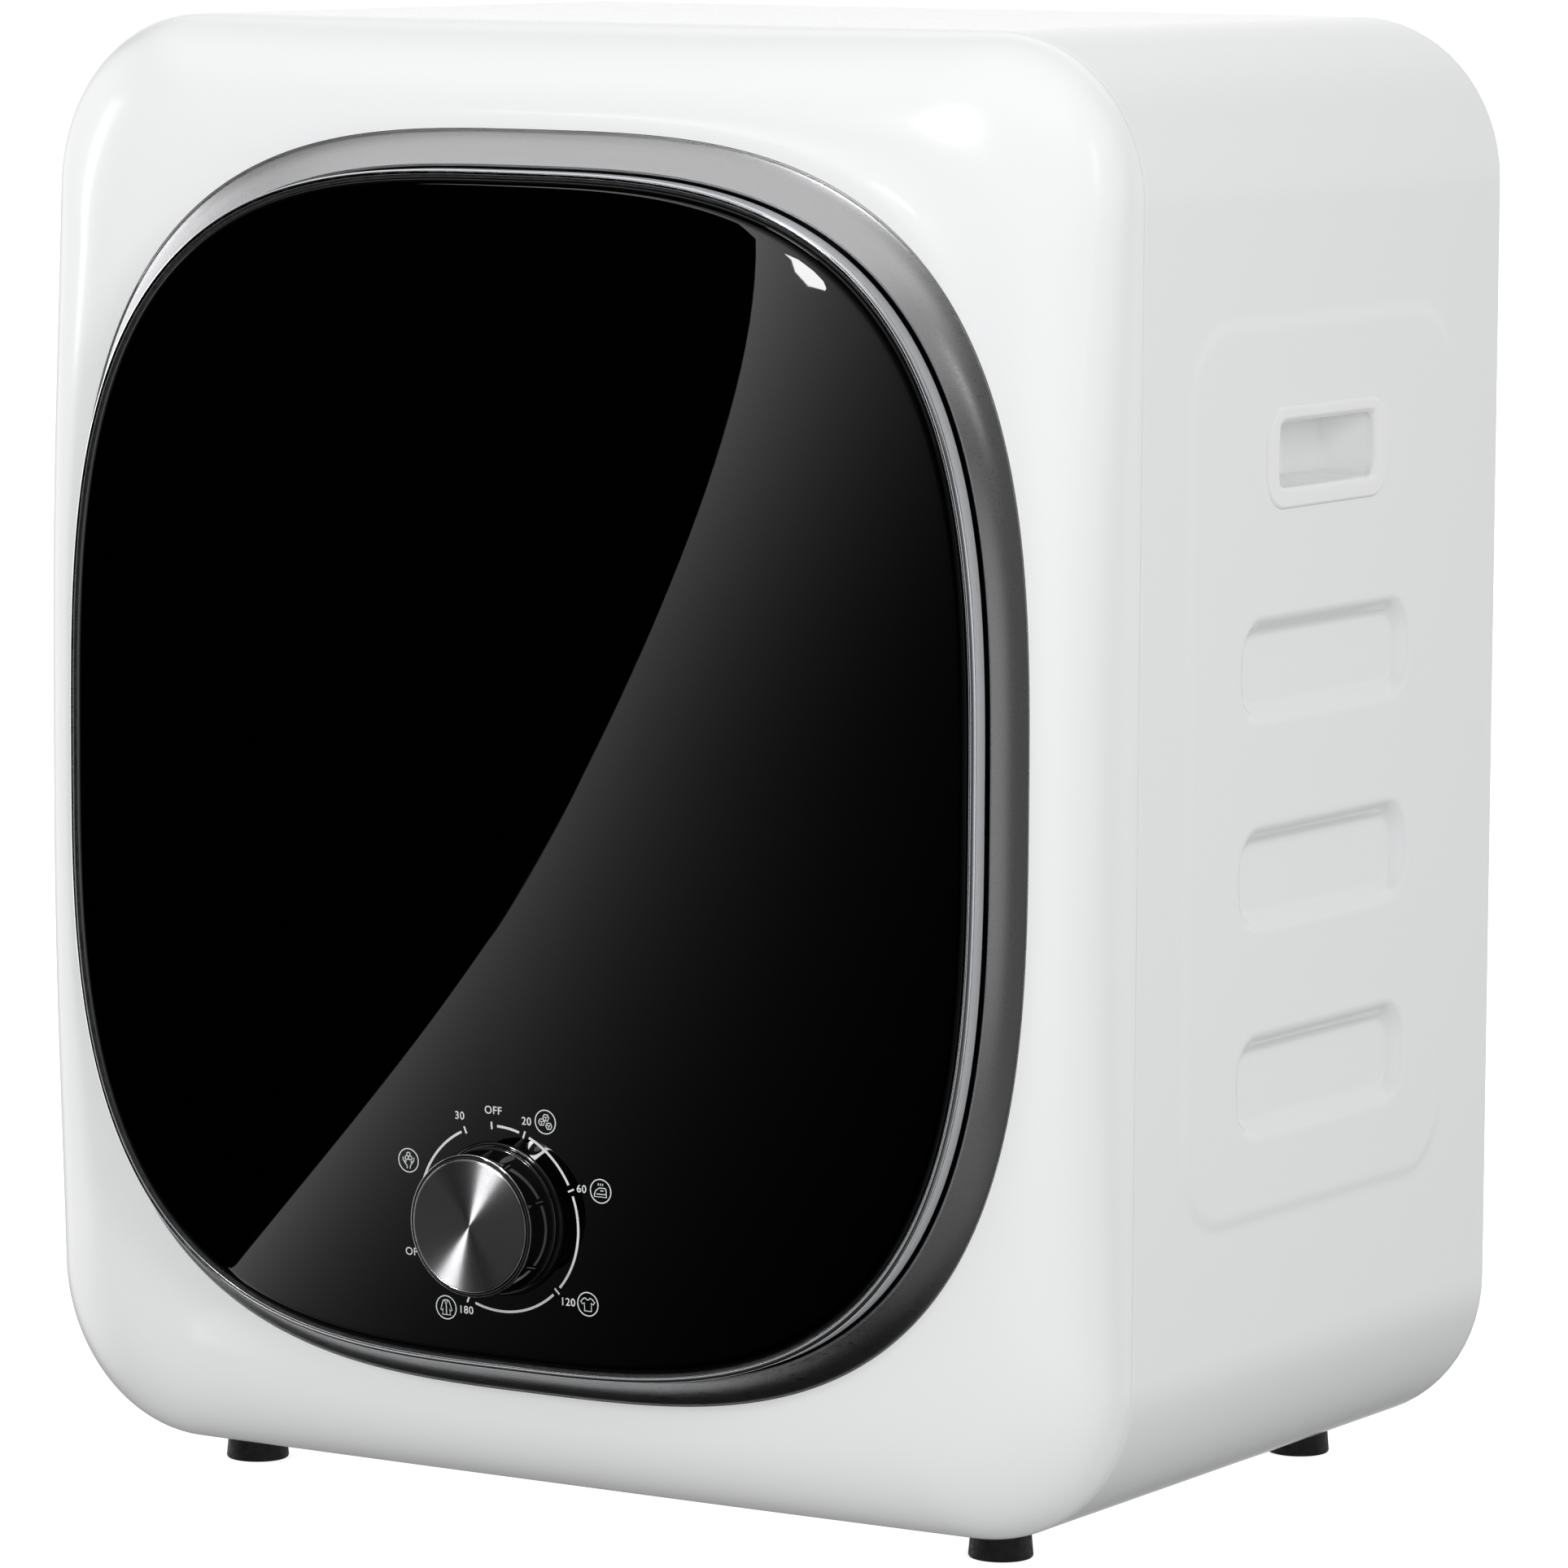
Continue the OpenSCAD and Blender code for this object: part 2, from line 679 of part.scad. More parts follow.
module hinge_knuckles(rows) {
    for (i = rows)
        translate([hinge_x, hinge_y, door_z - 50 + knuckle_len * i]) difference() {
            cylinder(r = knuckle_r, h = knuckle_len - 0.3);
            translate([0, 0, -1]) cylinder(r = 1.35, h = knuckle_len + 2);
        }
}

module hinge_cabinet_leaf() color("gray") place() {
    difference() {
        union() {
            box([-212.9, -48.5, door_z - 50], [-211.7, -30, door_z + 50]);
            for (i = [0, 2, 4])
                box([-212.9, -49.6, door_z - 50 + knuckle_len * i],
                    [hinge_x - 0.5, -48.4, door_z - 50.3 + knuckle_len * (i + 1)]);
            for (i = [0, 2, 4])
                translate([hinge_x, hinge_y, door_z - 50 + knuckle_len * i])
                    cylinder(r = knuckle_r, h = knuckle_len - 0.3);
        }
        translate([hinge_x, hinge_y, door_z - 51]) cylinder(r = 1.3, h = 102);
    }
}

module hinge_pin() color("silver") place()
    translate([hinge_x, hinge_y, door_z - 51.5]) cylinder(r = 1.3, h = 103);

module hinge_door_leaf() color("gray") place() {
    difference() {
        union() {
            for (i = [1, 3]) {
                translate([hinge_x, hinge_y, door_z - 50 + knuckle_len * i])
                    cylinder(r = knuckle_r, h = knuckle_len - 0.3);
                box([hinge_x, -50.2, door_z - 50 + knuckle_len * i],
                    [-203, -49, door_z - 50.3 + knuckle_len * (i + 1)]);
            }
            box([-205, -50.2, door_z - 50], [-187, -49, door_z + 50]);
        }
        translate([hinge_x, hinge_y, door_z - 51]) cylinder(r = 1.35, h = 102);
        for (z = [-40, 0, 40]) rod_y(-195, door_z + z, 2.1, -54, -46);
    }
}

module dial_seat() color("black") place() tube_y(0, dial_z, dial_seat_r, 5, -64.9, -55);

module timer_body() color("whitesmoke") place() {
    difference() {
        union() {
            rod_y(0, dial_z, 26, -52, -35);
            rod_y(0, dial_z, 9, -55, -51);
            box([-40, -trim_back + 0.1, dial_z - 6], [40, -47.4, dial_z + 6]);
        }
        rod_y(0, dial_z, 3.05, -60, -38);
    }
}

module knob_shell() color("black") place() {
    translate([0, 0, dial_z]) rotate([90, 0, 0]) rotate_extrude() polygon([
        [3, 65.3], [knob_r, 65.3], [knob_r, 67.5], [knob_r - 0.6, 68.3], [knob_r - 0.6, 82.2],
        [knob_r - 1.4, 83.2], [knob_r - 2.6, 83.2], [knob_r - 2.6, 81.8], [3, 81.8]
    ]);
}

module knob_face() color("silver") place() rod_y(0, dial_z, knob_r - 2.9, -knob_front, -81.8);

module timer_shaft() color("silver") place() rod_y(0, dial_z, 3, -81.8, -40);

// ---- loose moving pieces -----------------------------------------------------
module lint_filter() color("lightblue") place() {
    difference() {
        box([-62, -13.5, 112], [62, -4.5, 226]);
        rod_y(0, drum_z, throat_r + 0.2, -20, 4);
        for (x = [-53, 3]) box([x, -16, 122], [x + 50, -2, 196]);
    }
    box([-54, -9.4, 121], [54, -8.6, 197]);
}

module latch_body() color("dimgray") place() {
    difference() {
        box([latch_x - 9, well_y + well_t, 288], [latch_x + 15, -3, 326]);
        box([latch_x - 7, well_y, 290], [latch_x + 13, -5, 324]);
        translate([latch_x + 7, -8, 280]) cylinder(r = 2.05, h = 60);
    }
}

module latch_lever() color("darkgray") place() {
    box([latch_x + 5.6, -10, 300], [latch_x + 8.4, -6, 314]);
    translate([latch_x + 7, -8, 288.5]) cylinder(r = 2, h = 37);
    box([latch_x + 5.2, -18, 303], [latch_x + 7.2, -7, 311]);
    translate([latch_x + 5.3, -18.5, 300]) cylinder(r = 2.5, h = 14);
}

module door_switch() color("black") place() {
    difference() {
        box([switch_x - 12, well_y + well_t, switch_z - 12], [switch_x + 12, -6, switch_z + 12]);
        rod_y(switch_x, switch_z, 3.3, -30, -8);
    }
}

module switch_plunger() color("white") place() rod_y(switch_x, switch_z, 3.2, -30.7, -12);

// ---- outside pieces ----------------------------------------------------------
module handle_cup(sx) {
    lip = 1.6;
    mirror([sx > 0 ? 0 : 1, 0, 0]) translate([0, side_y, side_z]) difference() {
        union() {
            translate([half_w, 0, 0]) rotate([90, 0, 90])
                linear_extrude(lip) polygon(rounded(cup_l / 2, cup_h / 2, 14, 6));
            box([half_w - cup_deep, -44.5, -15.5], [half_w + 0.5, 44.5, 15.5]);
        }
        translate([half_w - cup_deep + 2, 0, 0]) rotate([90, 0, 90])
            linear_extrude(cup_deep) polygon(rounded(41, 12.7, 6, 4));
    }
}

module handle_cup_left() color("white") place() handle_cup(-1);

module handle_cup_right() color("white") place() handle_cup(1);

module at_feet() for (x = [-foot_x, foot_x], y = [foot_y_front, foot_y_back]) translate([x, y, 0]) children();

module rubber_feet() color("black") place() at_feet() difference() {
    cylinder(r1 = foot_r, r2 = foot_r - 1, h = foot_h);
    translate([0, 0, -1]) cylinder(r = 3.1, h = foot_h + 2);
    translate([0, 0, -1]) cylinder(r = 6.5, h = 6);
}

module foot_screws() color("silver") place() at_feet() {
    translate([0, 0, 3]) cylinder(r = 5.5, h = 2);
    translate([0, 0, 3]) cylinder(r = 3, h = 20);
    translate([0, 0, floor_z]) cylinder(r = 5.5, h = 5, $fn = 6);
}

module cord_gland() color("black") place() {
    y = cover_y + sheet_t;
    tube_y(150, 60, 8, 4, cover_y - 10, y + 2);
    tube_y(150, 60, 12, 4, y, y + 3);
}

cabinet_wrap();
front_panel();
door_surround();
well_panel();
throat_tube();
front_bulkhead();
throat_felt();
rear_bulkhead();
bearing_housing();
bearing_sleeve();
rear_felt();
rear_cover();
rear_cover_screws();
wall_bushes();
exhaust_collar();
exhaust_duct();
fan_housing();
fan_outlet();
air_duct();
heater_housing();
heater_element();
thermostats();
motor_body();
motor_cradle();
run_capacitor();
drive_belt();
door_switch();
latch_body();
hinge_cabinet_leaf();
hinge_pin();
handle_cup_left();
handle_cup_right();
rubber_feet();
foot_screws();
cord_gland();
door_glass();
door_trim();
door_frame();
door_liner();
door_bowl();
door_gasket();
door_strike();
hinge_door_leaf();
dial_seat();
timer_body();
knob_shell();
knob_face();
timer_shaft();
drum_shell();
drum_back();
drum_baffles();
drum_shaft();
rotor_shaft();
motor_pulley();
fan_wheel();
idler_arm();
idler_pulley();
lint_filter();
latch_lever();
switch_plunger();
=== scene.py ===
"""Looks of the compact clothes dryer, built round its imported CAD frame.

Lengths are millimetres until a mesh is made. x runs across, y back from the seam between the sheet
wrapper and the front moulding, and z up from the floor.
"""
import json
import math

import bmesh
import bpy
import numpy as np
from mathutils import Matrix, Vector


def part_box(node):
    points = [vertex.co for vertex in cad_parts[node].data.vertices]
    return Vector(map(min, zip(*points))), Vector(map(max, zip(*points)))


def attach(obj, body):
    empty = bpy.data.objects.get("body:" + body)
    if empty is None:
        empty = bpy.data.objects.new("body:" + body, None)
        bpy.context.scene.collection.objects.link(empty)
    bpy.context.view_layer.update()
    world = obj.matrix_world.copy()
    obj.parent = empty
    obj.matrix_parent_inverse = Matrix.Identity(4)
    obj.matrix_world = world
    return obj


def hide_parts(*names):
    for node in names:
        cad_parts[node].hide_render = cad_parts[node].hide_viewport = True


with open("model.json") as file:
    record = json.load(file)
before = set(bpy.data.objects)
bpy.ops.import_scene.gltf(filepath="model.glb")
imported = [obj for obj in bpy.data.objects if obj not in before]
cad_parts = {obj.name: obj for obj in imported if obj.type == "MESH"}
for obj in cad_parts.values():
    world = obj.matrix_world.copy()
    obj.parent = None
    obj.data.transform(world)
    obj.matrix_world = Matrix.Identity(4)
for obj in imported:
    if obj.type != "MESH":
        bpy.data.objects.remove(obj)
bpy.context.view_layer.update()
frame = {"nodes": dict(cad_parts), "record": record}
MM = 0.001


# ---- sizes from the frame ----------------------------------------------------
def box_mm(node):
    """Lowest and highest corner of a CAD node, in millimetres, y from the seam."""
    low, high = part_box(node)
    shift = np.array([0, SEAM_Y, 0])
    return np.array(low) / MM - shift, np.array(high) / MM - shift


SEAM_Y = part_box("cabinet_wrap")[0].y / MM
WRAP_LOW, WRAP_HIGH = box_mm("cabinet_wrap")
HALF_W = WRAP_HIGH[0]
WRAP_D = WRAP_HIGH[1]
BODY_LOW, BODY_HIGH = WRAP_LOW[2], WRAP_HIGH[2]
BODY_MID = (BODY_LOW + BODY_HIGH) / 2
HALF_H = (BODY_HIGH - BODY_LOW) / 2
CORNER_R = 66.0
SHEET = 1.2

GLASS_LOW, GLASS_HIGH = box_mm("door_glass")
GLASS_A = GLASS_HIGH[0]
GLASS_B = (GLASS_HIGH[2] - GLASS_LOW[2]) / 2
DOOR_Z = (GLASS_HIGH[2] + GLASS_LOW[2]) / 2
SURROUND_LOW, SURROUND_HIGH = box_mm("door_surround")
SURROUND_A = SURROUND_HIGH[0]
SURROUND_B = (SURROUND_HIGH[2] - SURROUND_LOW[2]) / 2
SURROUND_Z = (SURROUND_HIGH[2] + SURROUND_LOW[2]) / 2
SQUIRCLE_N = 3.1
PANEL_BULGE = 37.2
GLASS_RIM = 58.4
GLASS_CROWN = 10.0
GLASS_T = 4.0
FLANK_BACK = 47.5
TRIM_W = 2.7
TRIM_BACK = 49.5

KNOB_LOW, KNOB_HIGH = box_mm("knob_shell")
DIAL_Z = (KNOB_LOW[2] + KNOB_HIGH[2]) / 2
KNOB_R = KNOB_HIGH[0]
KNOB_FRONT = -box_mm("knob_face")[0][1]
SEAT_R = box_mm("dial_seat")[1][0]

CUP_Z = 434.0
CUP_Y = 151.0
PITCH = 83.0


# ---- mesh helpers ------------------------------------------------------------
OUTLINE_STEPS = 384
QUARTERS = ((1, 1), (-1, 1), (-1, -1), (1, -1))


def add_object(name, data):
    """A new object, linked to the scene."""
    obj = bpy.data.objects.new(name, data)
    bpy.context.scene.collection.objects.link(obj)
    return obj


def full_turn(steps):
    """Angles evenly round a circle, in radians."""
    return np.linspace(0, 2 * np.pi, steps, endpoint=False)


def at_depth(flat, y, z=0.0):
    """Points (x, z) set at one depth and raised by z."""
    return np.stack([flat[:, 0], np.full(len(flat), y), flat[:, 1] + z], 1)


def piece(name, points, faces, body, finish, stands_for=(), sharp=40):
    """A mesh piece from points in millimetres; y counts from the seam."""
    rows = np.asarray(points, float) + np.array([0, SEAM_Y, 0])
    mesh = bpy.data.meshes.new(name)
    mesh.from_pydata((rows * MM).tolist(), [], faces)
    work = bmesh.new()
    work.from_mesh(mesh)
    bmesh.ops.remove_doubles(work, verts=work.verts, dist=1e-6)
    bmesh.ops.recalc_face_normals(work, faces=work.faces)
    work.to_mesh(mesh)
    work.free()
    obj = add_object(name, mesh)
    shade(obj, sharp)
    obj.data.materials.append(finish)
    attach(obj, body)
    if stands_for:
        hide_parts(*stands_for)
    return obj


def shade(obj, sharp):
    """Smooth shading with a hard edge where faces meet at more than sharp degrees."""
    mesh = obj.data
    mesh.polygons.foreach_set("use_smooth", [True] * len(mesh.polygons))
    mesh.set_sharp_from_angle(angle=math.radians(sharp))


def loft(rings, closed=False):
    """Quads between neighbouring rings; closed joins the last ring to the first."""
    rings = np.asarray(rings, float)
    count, size = rings.shape[:2]
    faces = []
    for i in range(count if closed else count - 1):
        j = (i + 1) % count
        for k in range(size):
            m = (k + 1) % size
            faces.append((i * size + k, i * size + m, j * size + m, j * size + k))
    return rings.reshape(-1, 3), faces


def cut(obj, *tools):
    """Cuts the tool meshes out of obj, then deletes them."""
    for tool in tools:
        change = obj.modifiers.new("cut", "BOOLEAN")
        change.operation = "DIFFERENCE"
        change.solver = "EXACT"
        change.object = tool
        bpy.context.view_layer.objects.active = obj
        with bpy.context.temp_override(object=obj, active_object=obj, selected_objects=[obj]):
            bpy.ops.object.modifier_apply(modifier=change.name)
        bpy.data.objects.remove(tool)


def make_tool(work, place):
    """A mesh to cut with, from a bmesh moved to its place."""
    mesh = bpy.data.meshes.new("tool")
    work.to_mesh(mesh)
    work.free()
    mesh.transform(place)
    return add_object("tool", mesh)


def tool_box(low, high):
    """A box to cut with, from corner to corner in millimetres."""
    low, high = np.array(low, float), np.array(high, float)
    work = bmesh.new()
    bmesh.ops.create_cube(work, size=1)
    middle = ((low + high) / 2 + np.array([0, SEAM_Y, 0])) * MM
    return make_tool(work, Matrix.Translation(middle) @ Matrix.Diagonal((*((high - low) * MM), 1)))


def tool_rod(x, z, radius, y0, y1):
    """A round bar along y to cut with."""
    work = bmesh.new()
    bmesh.ops.create_cone(
        work,
        cap_ends=True,
        segments=128,
        radius1=radius * MM,
        radius2=radius * MM,
        depth=(y1 - y0) * MM,
    )
    centre = Vector((x * MM, (SEAM_Y + (y0 + y1) / 2) * MM, z * MM))
    return make_tool(work, Matrix.Translation(centre) @ Matrix.Rotation(math.pi / 2, 4, "X"))


def squircle(a, b, power=SQUIRCLE_N):
    """Points (x, z) of the door's outline family round its own middle."""
    t = full_turn(OUTLINE_STEPS)
    r = squircle_r(t, a, b, power)
    return np.stack([r * np.cos(t), r * np.sin(t)], 1)


def squircle_r(t, a, b, n=SQUIRCLE_N):
    """Length of the ray at angle t to a squircle's edge."""
    return (np.abs(np.cos(t) / a) ** n + np.abs(np.sin(t) / b) ** n) ** (-1 / n)


def ring_piece(name, section, body, finish, stands_for, sharp=30):
    """A closed ring round the door. Section points are (growth across, y, growth up, rise)."""
    rings = []
    for across, y, up, rise in section:
        flat = squircle(GLASS_A + across, GLASS_B + up)
        rings.append(at_depth(flat, y, DOOR_Z + rise))
    points, faces = loft(rings, closed=True)
    return piece(name, points, faces, body, finish, stands_for, sharp)


def arc(cx, cy, radius, start, end, steps):
    """Points on an arc of a section, angles in degrees."""
    return [
        (cx + radius * math.cos(math.radians(a)), cy + radius * math.sin(math.radians(a)))
        for a in np.linspace(start, end, steps + 1)
    ]


def circle(cx, cz, radius, steps=48):
    """Points (x, z) of a circle."""
    t = full_turn(steps)
    return np.stack([cx + radius * np.cos(t), cz + radius * np.sin(t)], 1)


def even(points):
    """A section that is the same distance from the glass all round."""
    return [(g, y, g, 0.0) for g, y in points]


def lathe(name, section, centre_x, centre_z, body, finish, stands_for=(), steps=192, sharp=35):
    """A round piece about a line along y. Section points are (radius, y); a radius of 0 closes it."""
    rings = []
    for radius, y in section:
        rings.append(at_depth(circle(0, 0, max(radius, 1e-3), steps), y, centre_z) + [centre_x, 0, 0])
    closed = section[0][0] > 0.01 and section[-1][0] > 0.01
    points, faces = loft(rings, closed)
    if section[0][0] <= 0.01:
        faces.append(tuple(range(steps)))
    if section[-1][0] <= 0.01:
        faces.append(tuple(range((len(section) - 1) * steps, len(section) * steps)))
    return piece(name, points, faces, body, finish, stands_for, sharp)


# ---- materials ---------------------------------------------------------------
class Finish:
    """A node material with one Principled shader and helpers for its texture nodes."""

    def __init__(self, name, color, roughness, **sockets):
        self.material = bpy.data.materials.new(name)
        self.material.use_nodes = True
        self.nodes = self.material.node_tree.nodes
        self.links = self.material.node_tree.links
        self.shader = self.nodes["Principled BSDF"]
        self.shader.inputs["Base Color"].default_value = (*color, 1)
        self.shader.inputs["Roughness"].default_value = roughness
        for key, value in sockets.items():
            self.shader.inputs[key.replace("_", " ")].default_value = value
        self.place = self.nodes.new("ShaderNodeTexCoord").outputs["Object"]

    def noise(self, scale, detail=2.0, rough=0.5, stretch=(1, 1, 1)):
        """Noise in object space, scale in features per metre."""
        mapping = self.nodes.new("ShaderNodeMapping")
        mapping.inputs["Scale"].default_value = stretch
        self.links.new(self.place, mapping.inputs["Vector"])
        texture = self.nodes.new("ShaderNodeTexNoise")
        texture.inputs["Scale"].default_value = scale
        texture.inputs["Detail"].default_value = detail
        texture.inputs["Roughness"].default_value = rough
        self.links.new(mapping.outputs["Vector"], texture.inputs["Vector"])
        return texture.outputs["Fac"]

    def remap(self, value, low, high):
        """Spreads a 0 to 1 value over low to high."""
        node = self.nodes.new("ShaderNodeMapRange")
        node.inputs["From Min"].default_value = 0.3
        node.inputs["From Max"].default_value = 0.7
        node.inputs["To Min"].default_value = low
        node.inputs["To Max"].default_value = high
        self.links.new(value, node.inputs["Value"])
        return node.outputs["Result"]

    def rough(self, value, low, high):
        """Roughness that varies between two values."""
        self.links.new(self.remap(value, low, high), self.shader.inputs["Roughness"])
        return self

    def tint(self, value, dark, light):
        """Base colour that varies between two colours."""
        ramp = self.nodes.new("ShaderNodeValToRGB")
        ramp.color_ramp.elements[0].position = 0.3
        ramp.color_ramp.elements[0].color = (*dark, 1)
        ramp.color_ramp.elements[1].position = 0.7
        ramp.color_ramp.elements[1].color = (*light, 1)
        self.links.new(value, ramp.inputs["Fac"])
        self.links.new(ramp.outputs["Color"], self.shader.inputs["Base Color"])
        return self

    def bump(self, value, strength, depth_mm):
        """Fine relief, with its depth in millimetres."""
        node = self.nodes.new("ShaderNodeBump")
        node.inputs["Strength"].default_value = strength
        node.inputs["Distance"].default_value = depth_mm * MM
        self.links.new(value, node.inputs["Height"])
        previous = self.shader.inputs["Normal"]
        if previous.is_linked:
            self.links.new(previous.links[0].from_socket, node.inputs["Normal"])
        self.links.new(node.outputs["Normal"], previous)
        return self


def gloss_white(name, color, peel):
    """Gloss white with the faint orange peel of paint, or the flow of a moulding."""
    f = Finish(name, color, 0.16, Specular_IOR_Level=0.5, Coat_Weight=0.35, Coat_Roughness=0.05)
    f.rough(f.noise(90, 3), 0.14, 0.20)
    f.bump(f.noise(260, 1), 0.25, peel)
    return f.material


def satin_silver(name, color, low, high, metal=1.0):
    """Silver lacquer over fine lines that run level round the door."""
    f = Finish(name, color, 0.3, Metallic=metal)
    f.rough(f.noise(900, 2, 0.6, (0.02, 1.0, 1.0)), low, high)
    return f.material


def polished(name, color):
    """Bright plated edge with a trace of handling haze."""
    f = Finish(name, color, 0.1, Metallic=1.0)
    f.rough(f.noise(160, 3), 0.06, 0.14)
    return f.material


def black_glass():
    """Black backed glass: mirror smooth, with faint haze."""
    f = Finish("black_glass", (0.0003, 0.0003, 0.0004), 0.01, Specular_IOR_Level=0.5)
    f.rough(f.noise(40, 4), 0.004, 0.012)
    return f.material


def plastic(name, dark, light, low, high, grain_mm=0.03, grain=2200):
    """Moulded plastic with a fine spark-eroded grain."""
    f = Finish(name, light, high)
    f.tint(f.noise(14, 3), dark, light)
    f.rough(f.noise(120, 3), low, high)
    f.bump(f.noise(grain, 2), 0.35, grain_mm)
    return f.material


def sheet_metal(name, dark, light, low, high, stretch=(1, 1, 1), scale=60, line=900):
    """Sheet steel: broad patches of tone and fine rolling marks."""
    f = Finish(name, light, high, Metallic=1.0)
    f.tint(f.noise(scale, 4, 0.65), dark, light)
    marks = f.noise(line, 2, 0.6, stretch)
    f.rough(marks, low, high)
    f.bump(marks, 0.2, 0.02)
    return f.material


def rubber(name, tone):
    """Matt rubber with dust-like speckle."""
    f = Finish(name, (tone, tone, tone), 0.6, Specular_IOR_Level=0.35)
    f.tint(f.noise(300, 4), (tone * 0.7,) * 3, (tone * 1.4,) * 3)
    f.rough(f.noise(500, 3), 0.5, 0.75)
    f.bump(f.noise(1500, 2), 0.4, 0.05)
    return f.material


def felt():
    """Pressed wool: fibres in two directions over a mottled grey."""
    f = Finish("wool_felt", (0.3, 0.28, 0.25), 0.95, Sheen_Weight=0.4)
    f.tint(f.noise(420, 5, 0.7), (0.20, 0.19, 0.17), (0.42, 0.40, 0.36))
    f.bump(f.noise(1600, 4, 0.7, (1, 0.2, 1)), 0.7, 0.4)
    f.bump(f.noise(1600, 4, 0.7, (0.2, 1, 1)), 0.5, 0.3)
    return f.material


def spun_face():
    """Spun aluminium: rings about the dial's axis that pull reflections into wedges."""
    grain = {"Anisotropic": 1.0, "Anisotropic_Rotation": 0.25}
    f = Finish("spun_face", (0.20, 0.20, 0.205), 0.3, Metallic=1.0, **grain)
    f.rough(f.noise(60, 3), 0.27, 0.31)
    tangent = f.nodes.new("ShaderNodeTangent")
    tangent.direction_type = "RADIAL"
    tangent.axis = "Y"
    f.links.new(tangent.outputs["Tangent"], f.shader.inputs["Tangent"])
    return f.material


WHITE = (0.86, 0.865, 0.87)
BODY_PAINT = gloss_white("body_paint", (0.84, 0.85, 0.855), 0.02)
FRONT_WHITE = gloss_white("front_white", WHITE, 0.012)
CUP_WHITE = gloss_white("cup_white", (0.86, 0.865, 0.865), 0.01)
SURROUND_SILVER = satin_silver("surround_silver", (0.60, 0.60, 0.61), 0.26, 0.32)
TRIM_SILVER = satin_silver("trim_silver", (0.56, 0.57, 0.59), 0.30, 0.40, 0.3)
TRIM_BRIGHT = polished("trim_bright", (0.85, 0.87, 0.90))
BLACK_GLASS = black_glass()
PIANO_BLACK = plastic("piano_black", (0.004,) * 3, (0.006,) * 3, 0.03, 0.06, 0.001, 400)
CHROME = polished("knob_chrome", (0.78, 0.79, 0.80))
SPUN_FACE = spun_face()
PRINT_WHITE = plastic("dial_ink", (0.70, 0.72, 0.73), (0.80, 0.82, 0.83), 0.35, 0.5, 0.005, 900)

CAD_FINISHES = {
    "well_plastic": plastic("well_plastic", (0.018,) * 3, (0.024,) * 3, 0.45, 0.60),
    "dark_plastic": plastic("dark_plastic", (0.020,) * 3, (0.035,) * 3, 0.45, 0.60),
    "gloss_black": PIANO_BLACK,
    "spun_metal": SPUN_FACE,
    "foot_rubber": rubber("foot_rubber", 0.012),
    "seal_rubber": rubber("seal_rubber", 0.035),
    "felt": felt(),
    "zinc_sheet": sheet_metal(
        "zinc_sheet", (0.36, 0.37, 0.38), (0.56, 0.57, 0.58), 0.32, 0.50, scale=110
    ),
    "drum_steel": sheet_metal(
        "drum_steel", (0.52, 0.52, 0.53), (0.62, 0.62, 0.63), 0.18, 0.32, (1, 0.03, 1), 18
    ),
    "cover_paint": plastic(
        "cover_paint", (0.55, 0.555, 0.56), (0.60, 0.605, 0.61), 0.35, 0.50, 0.05, 700
    ),
    "steel_parts": sheet_metal(
        "steel_parts", (0.42, 0.42, 0.43), (0.58, 0.58, 0.57), 0.22, 0.38, scale=240
    ),
    "bronze": sheet_metal("bronze", (0.36, 0.22, 0.09), (0.50, 0.33, 0.15), 0.30, 0.45, scale=300),
    "heater_ceramic": sheet_metal(
        "heater_ceramic", (0.40, 0.33, 0.26), (0.56, 0.48, 0.40), 0.40, 0.60, (1, 1, 0.05), 40
    ),
    "motor_paint": plastic(
        "motor_paint", (0.030, 0.034, 0.04), (0.045, 0.05, 0.056), 0.30, 0.45, 0.06, 500
    ),
    "capacitor_case": plastic("capacitor_case", (0.55, 0.55, 0.53), (0.62, 0.62, 0.60), 0.25, 0.40),
    "light_plastic": plastic("light_plastic", (0.56, 0.56, 0.55), (0.64, 0.64, 0.63), 0.38, 0.52),
    "filter_plastic": plastic("filter_plastic", (0.13, 0.20, 0.30), (0.17, 0.25, 0.36), 0.35, 0.50),
    "body_paint": BODY_PAINT,
    "front_moulding": FRONT_WHITE,
    "cup_plastic": CUP_WHITE,
    "surround_silver": SURROUND_SILVER,
    "trim_silver": TRIM_SILVER,
    "door_black_glass": BLACK_GLASS,
}


def dress_cad_nodes():
    """Every CAD node takes the finish of its material slot."""
    for part in frame["record"]["subparts"]:
        node = frame["nodes"][part["node"]]
        node.data.materials.clear()
        node.data.materials.append(CAD_FINISHES[part["material_slot"]])


# ---- cabinet -----------------------------------------------------------------
FIELD_MID, FIELD_HALF, FIELD_R = (148.5, 310.5), (109.5, 177.5), 30
FIELD_RISE, FIELD_EASE = 0.7, 7
HOLLOW_Y, HOLLOW_HALF, HOLLOW_R = 152, (71, 20.5), 16
HOLLOW_DEPTH, HOLLOW_EASE = 4.4, 9
CUP_HOLE_HALF = (46, 16)


def smooth_step(value):
    """Eases 0 to 1, flat at both ends."""
    value = np.clip(value, 0, 1)
    return value * value * value * (value * (6 * value - 15) + 10)


def inside_rounded(y, z, half_y, half_z, radius):
    """Distance inside a rounded rectangle's edge, negative outside."""
    dy = np.abs(y) - (half_y - radius)
    dz = np.abs(z) - (half_z - radius)
    outside = np.hypot(np.maximum(dy, 0), np.maximum(dz, 0))
    return radius - outside - np.minimum(np.maximum(dy, dz), 0)


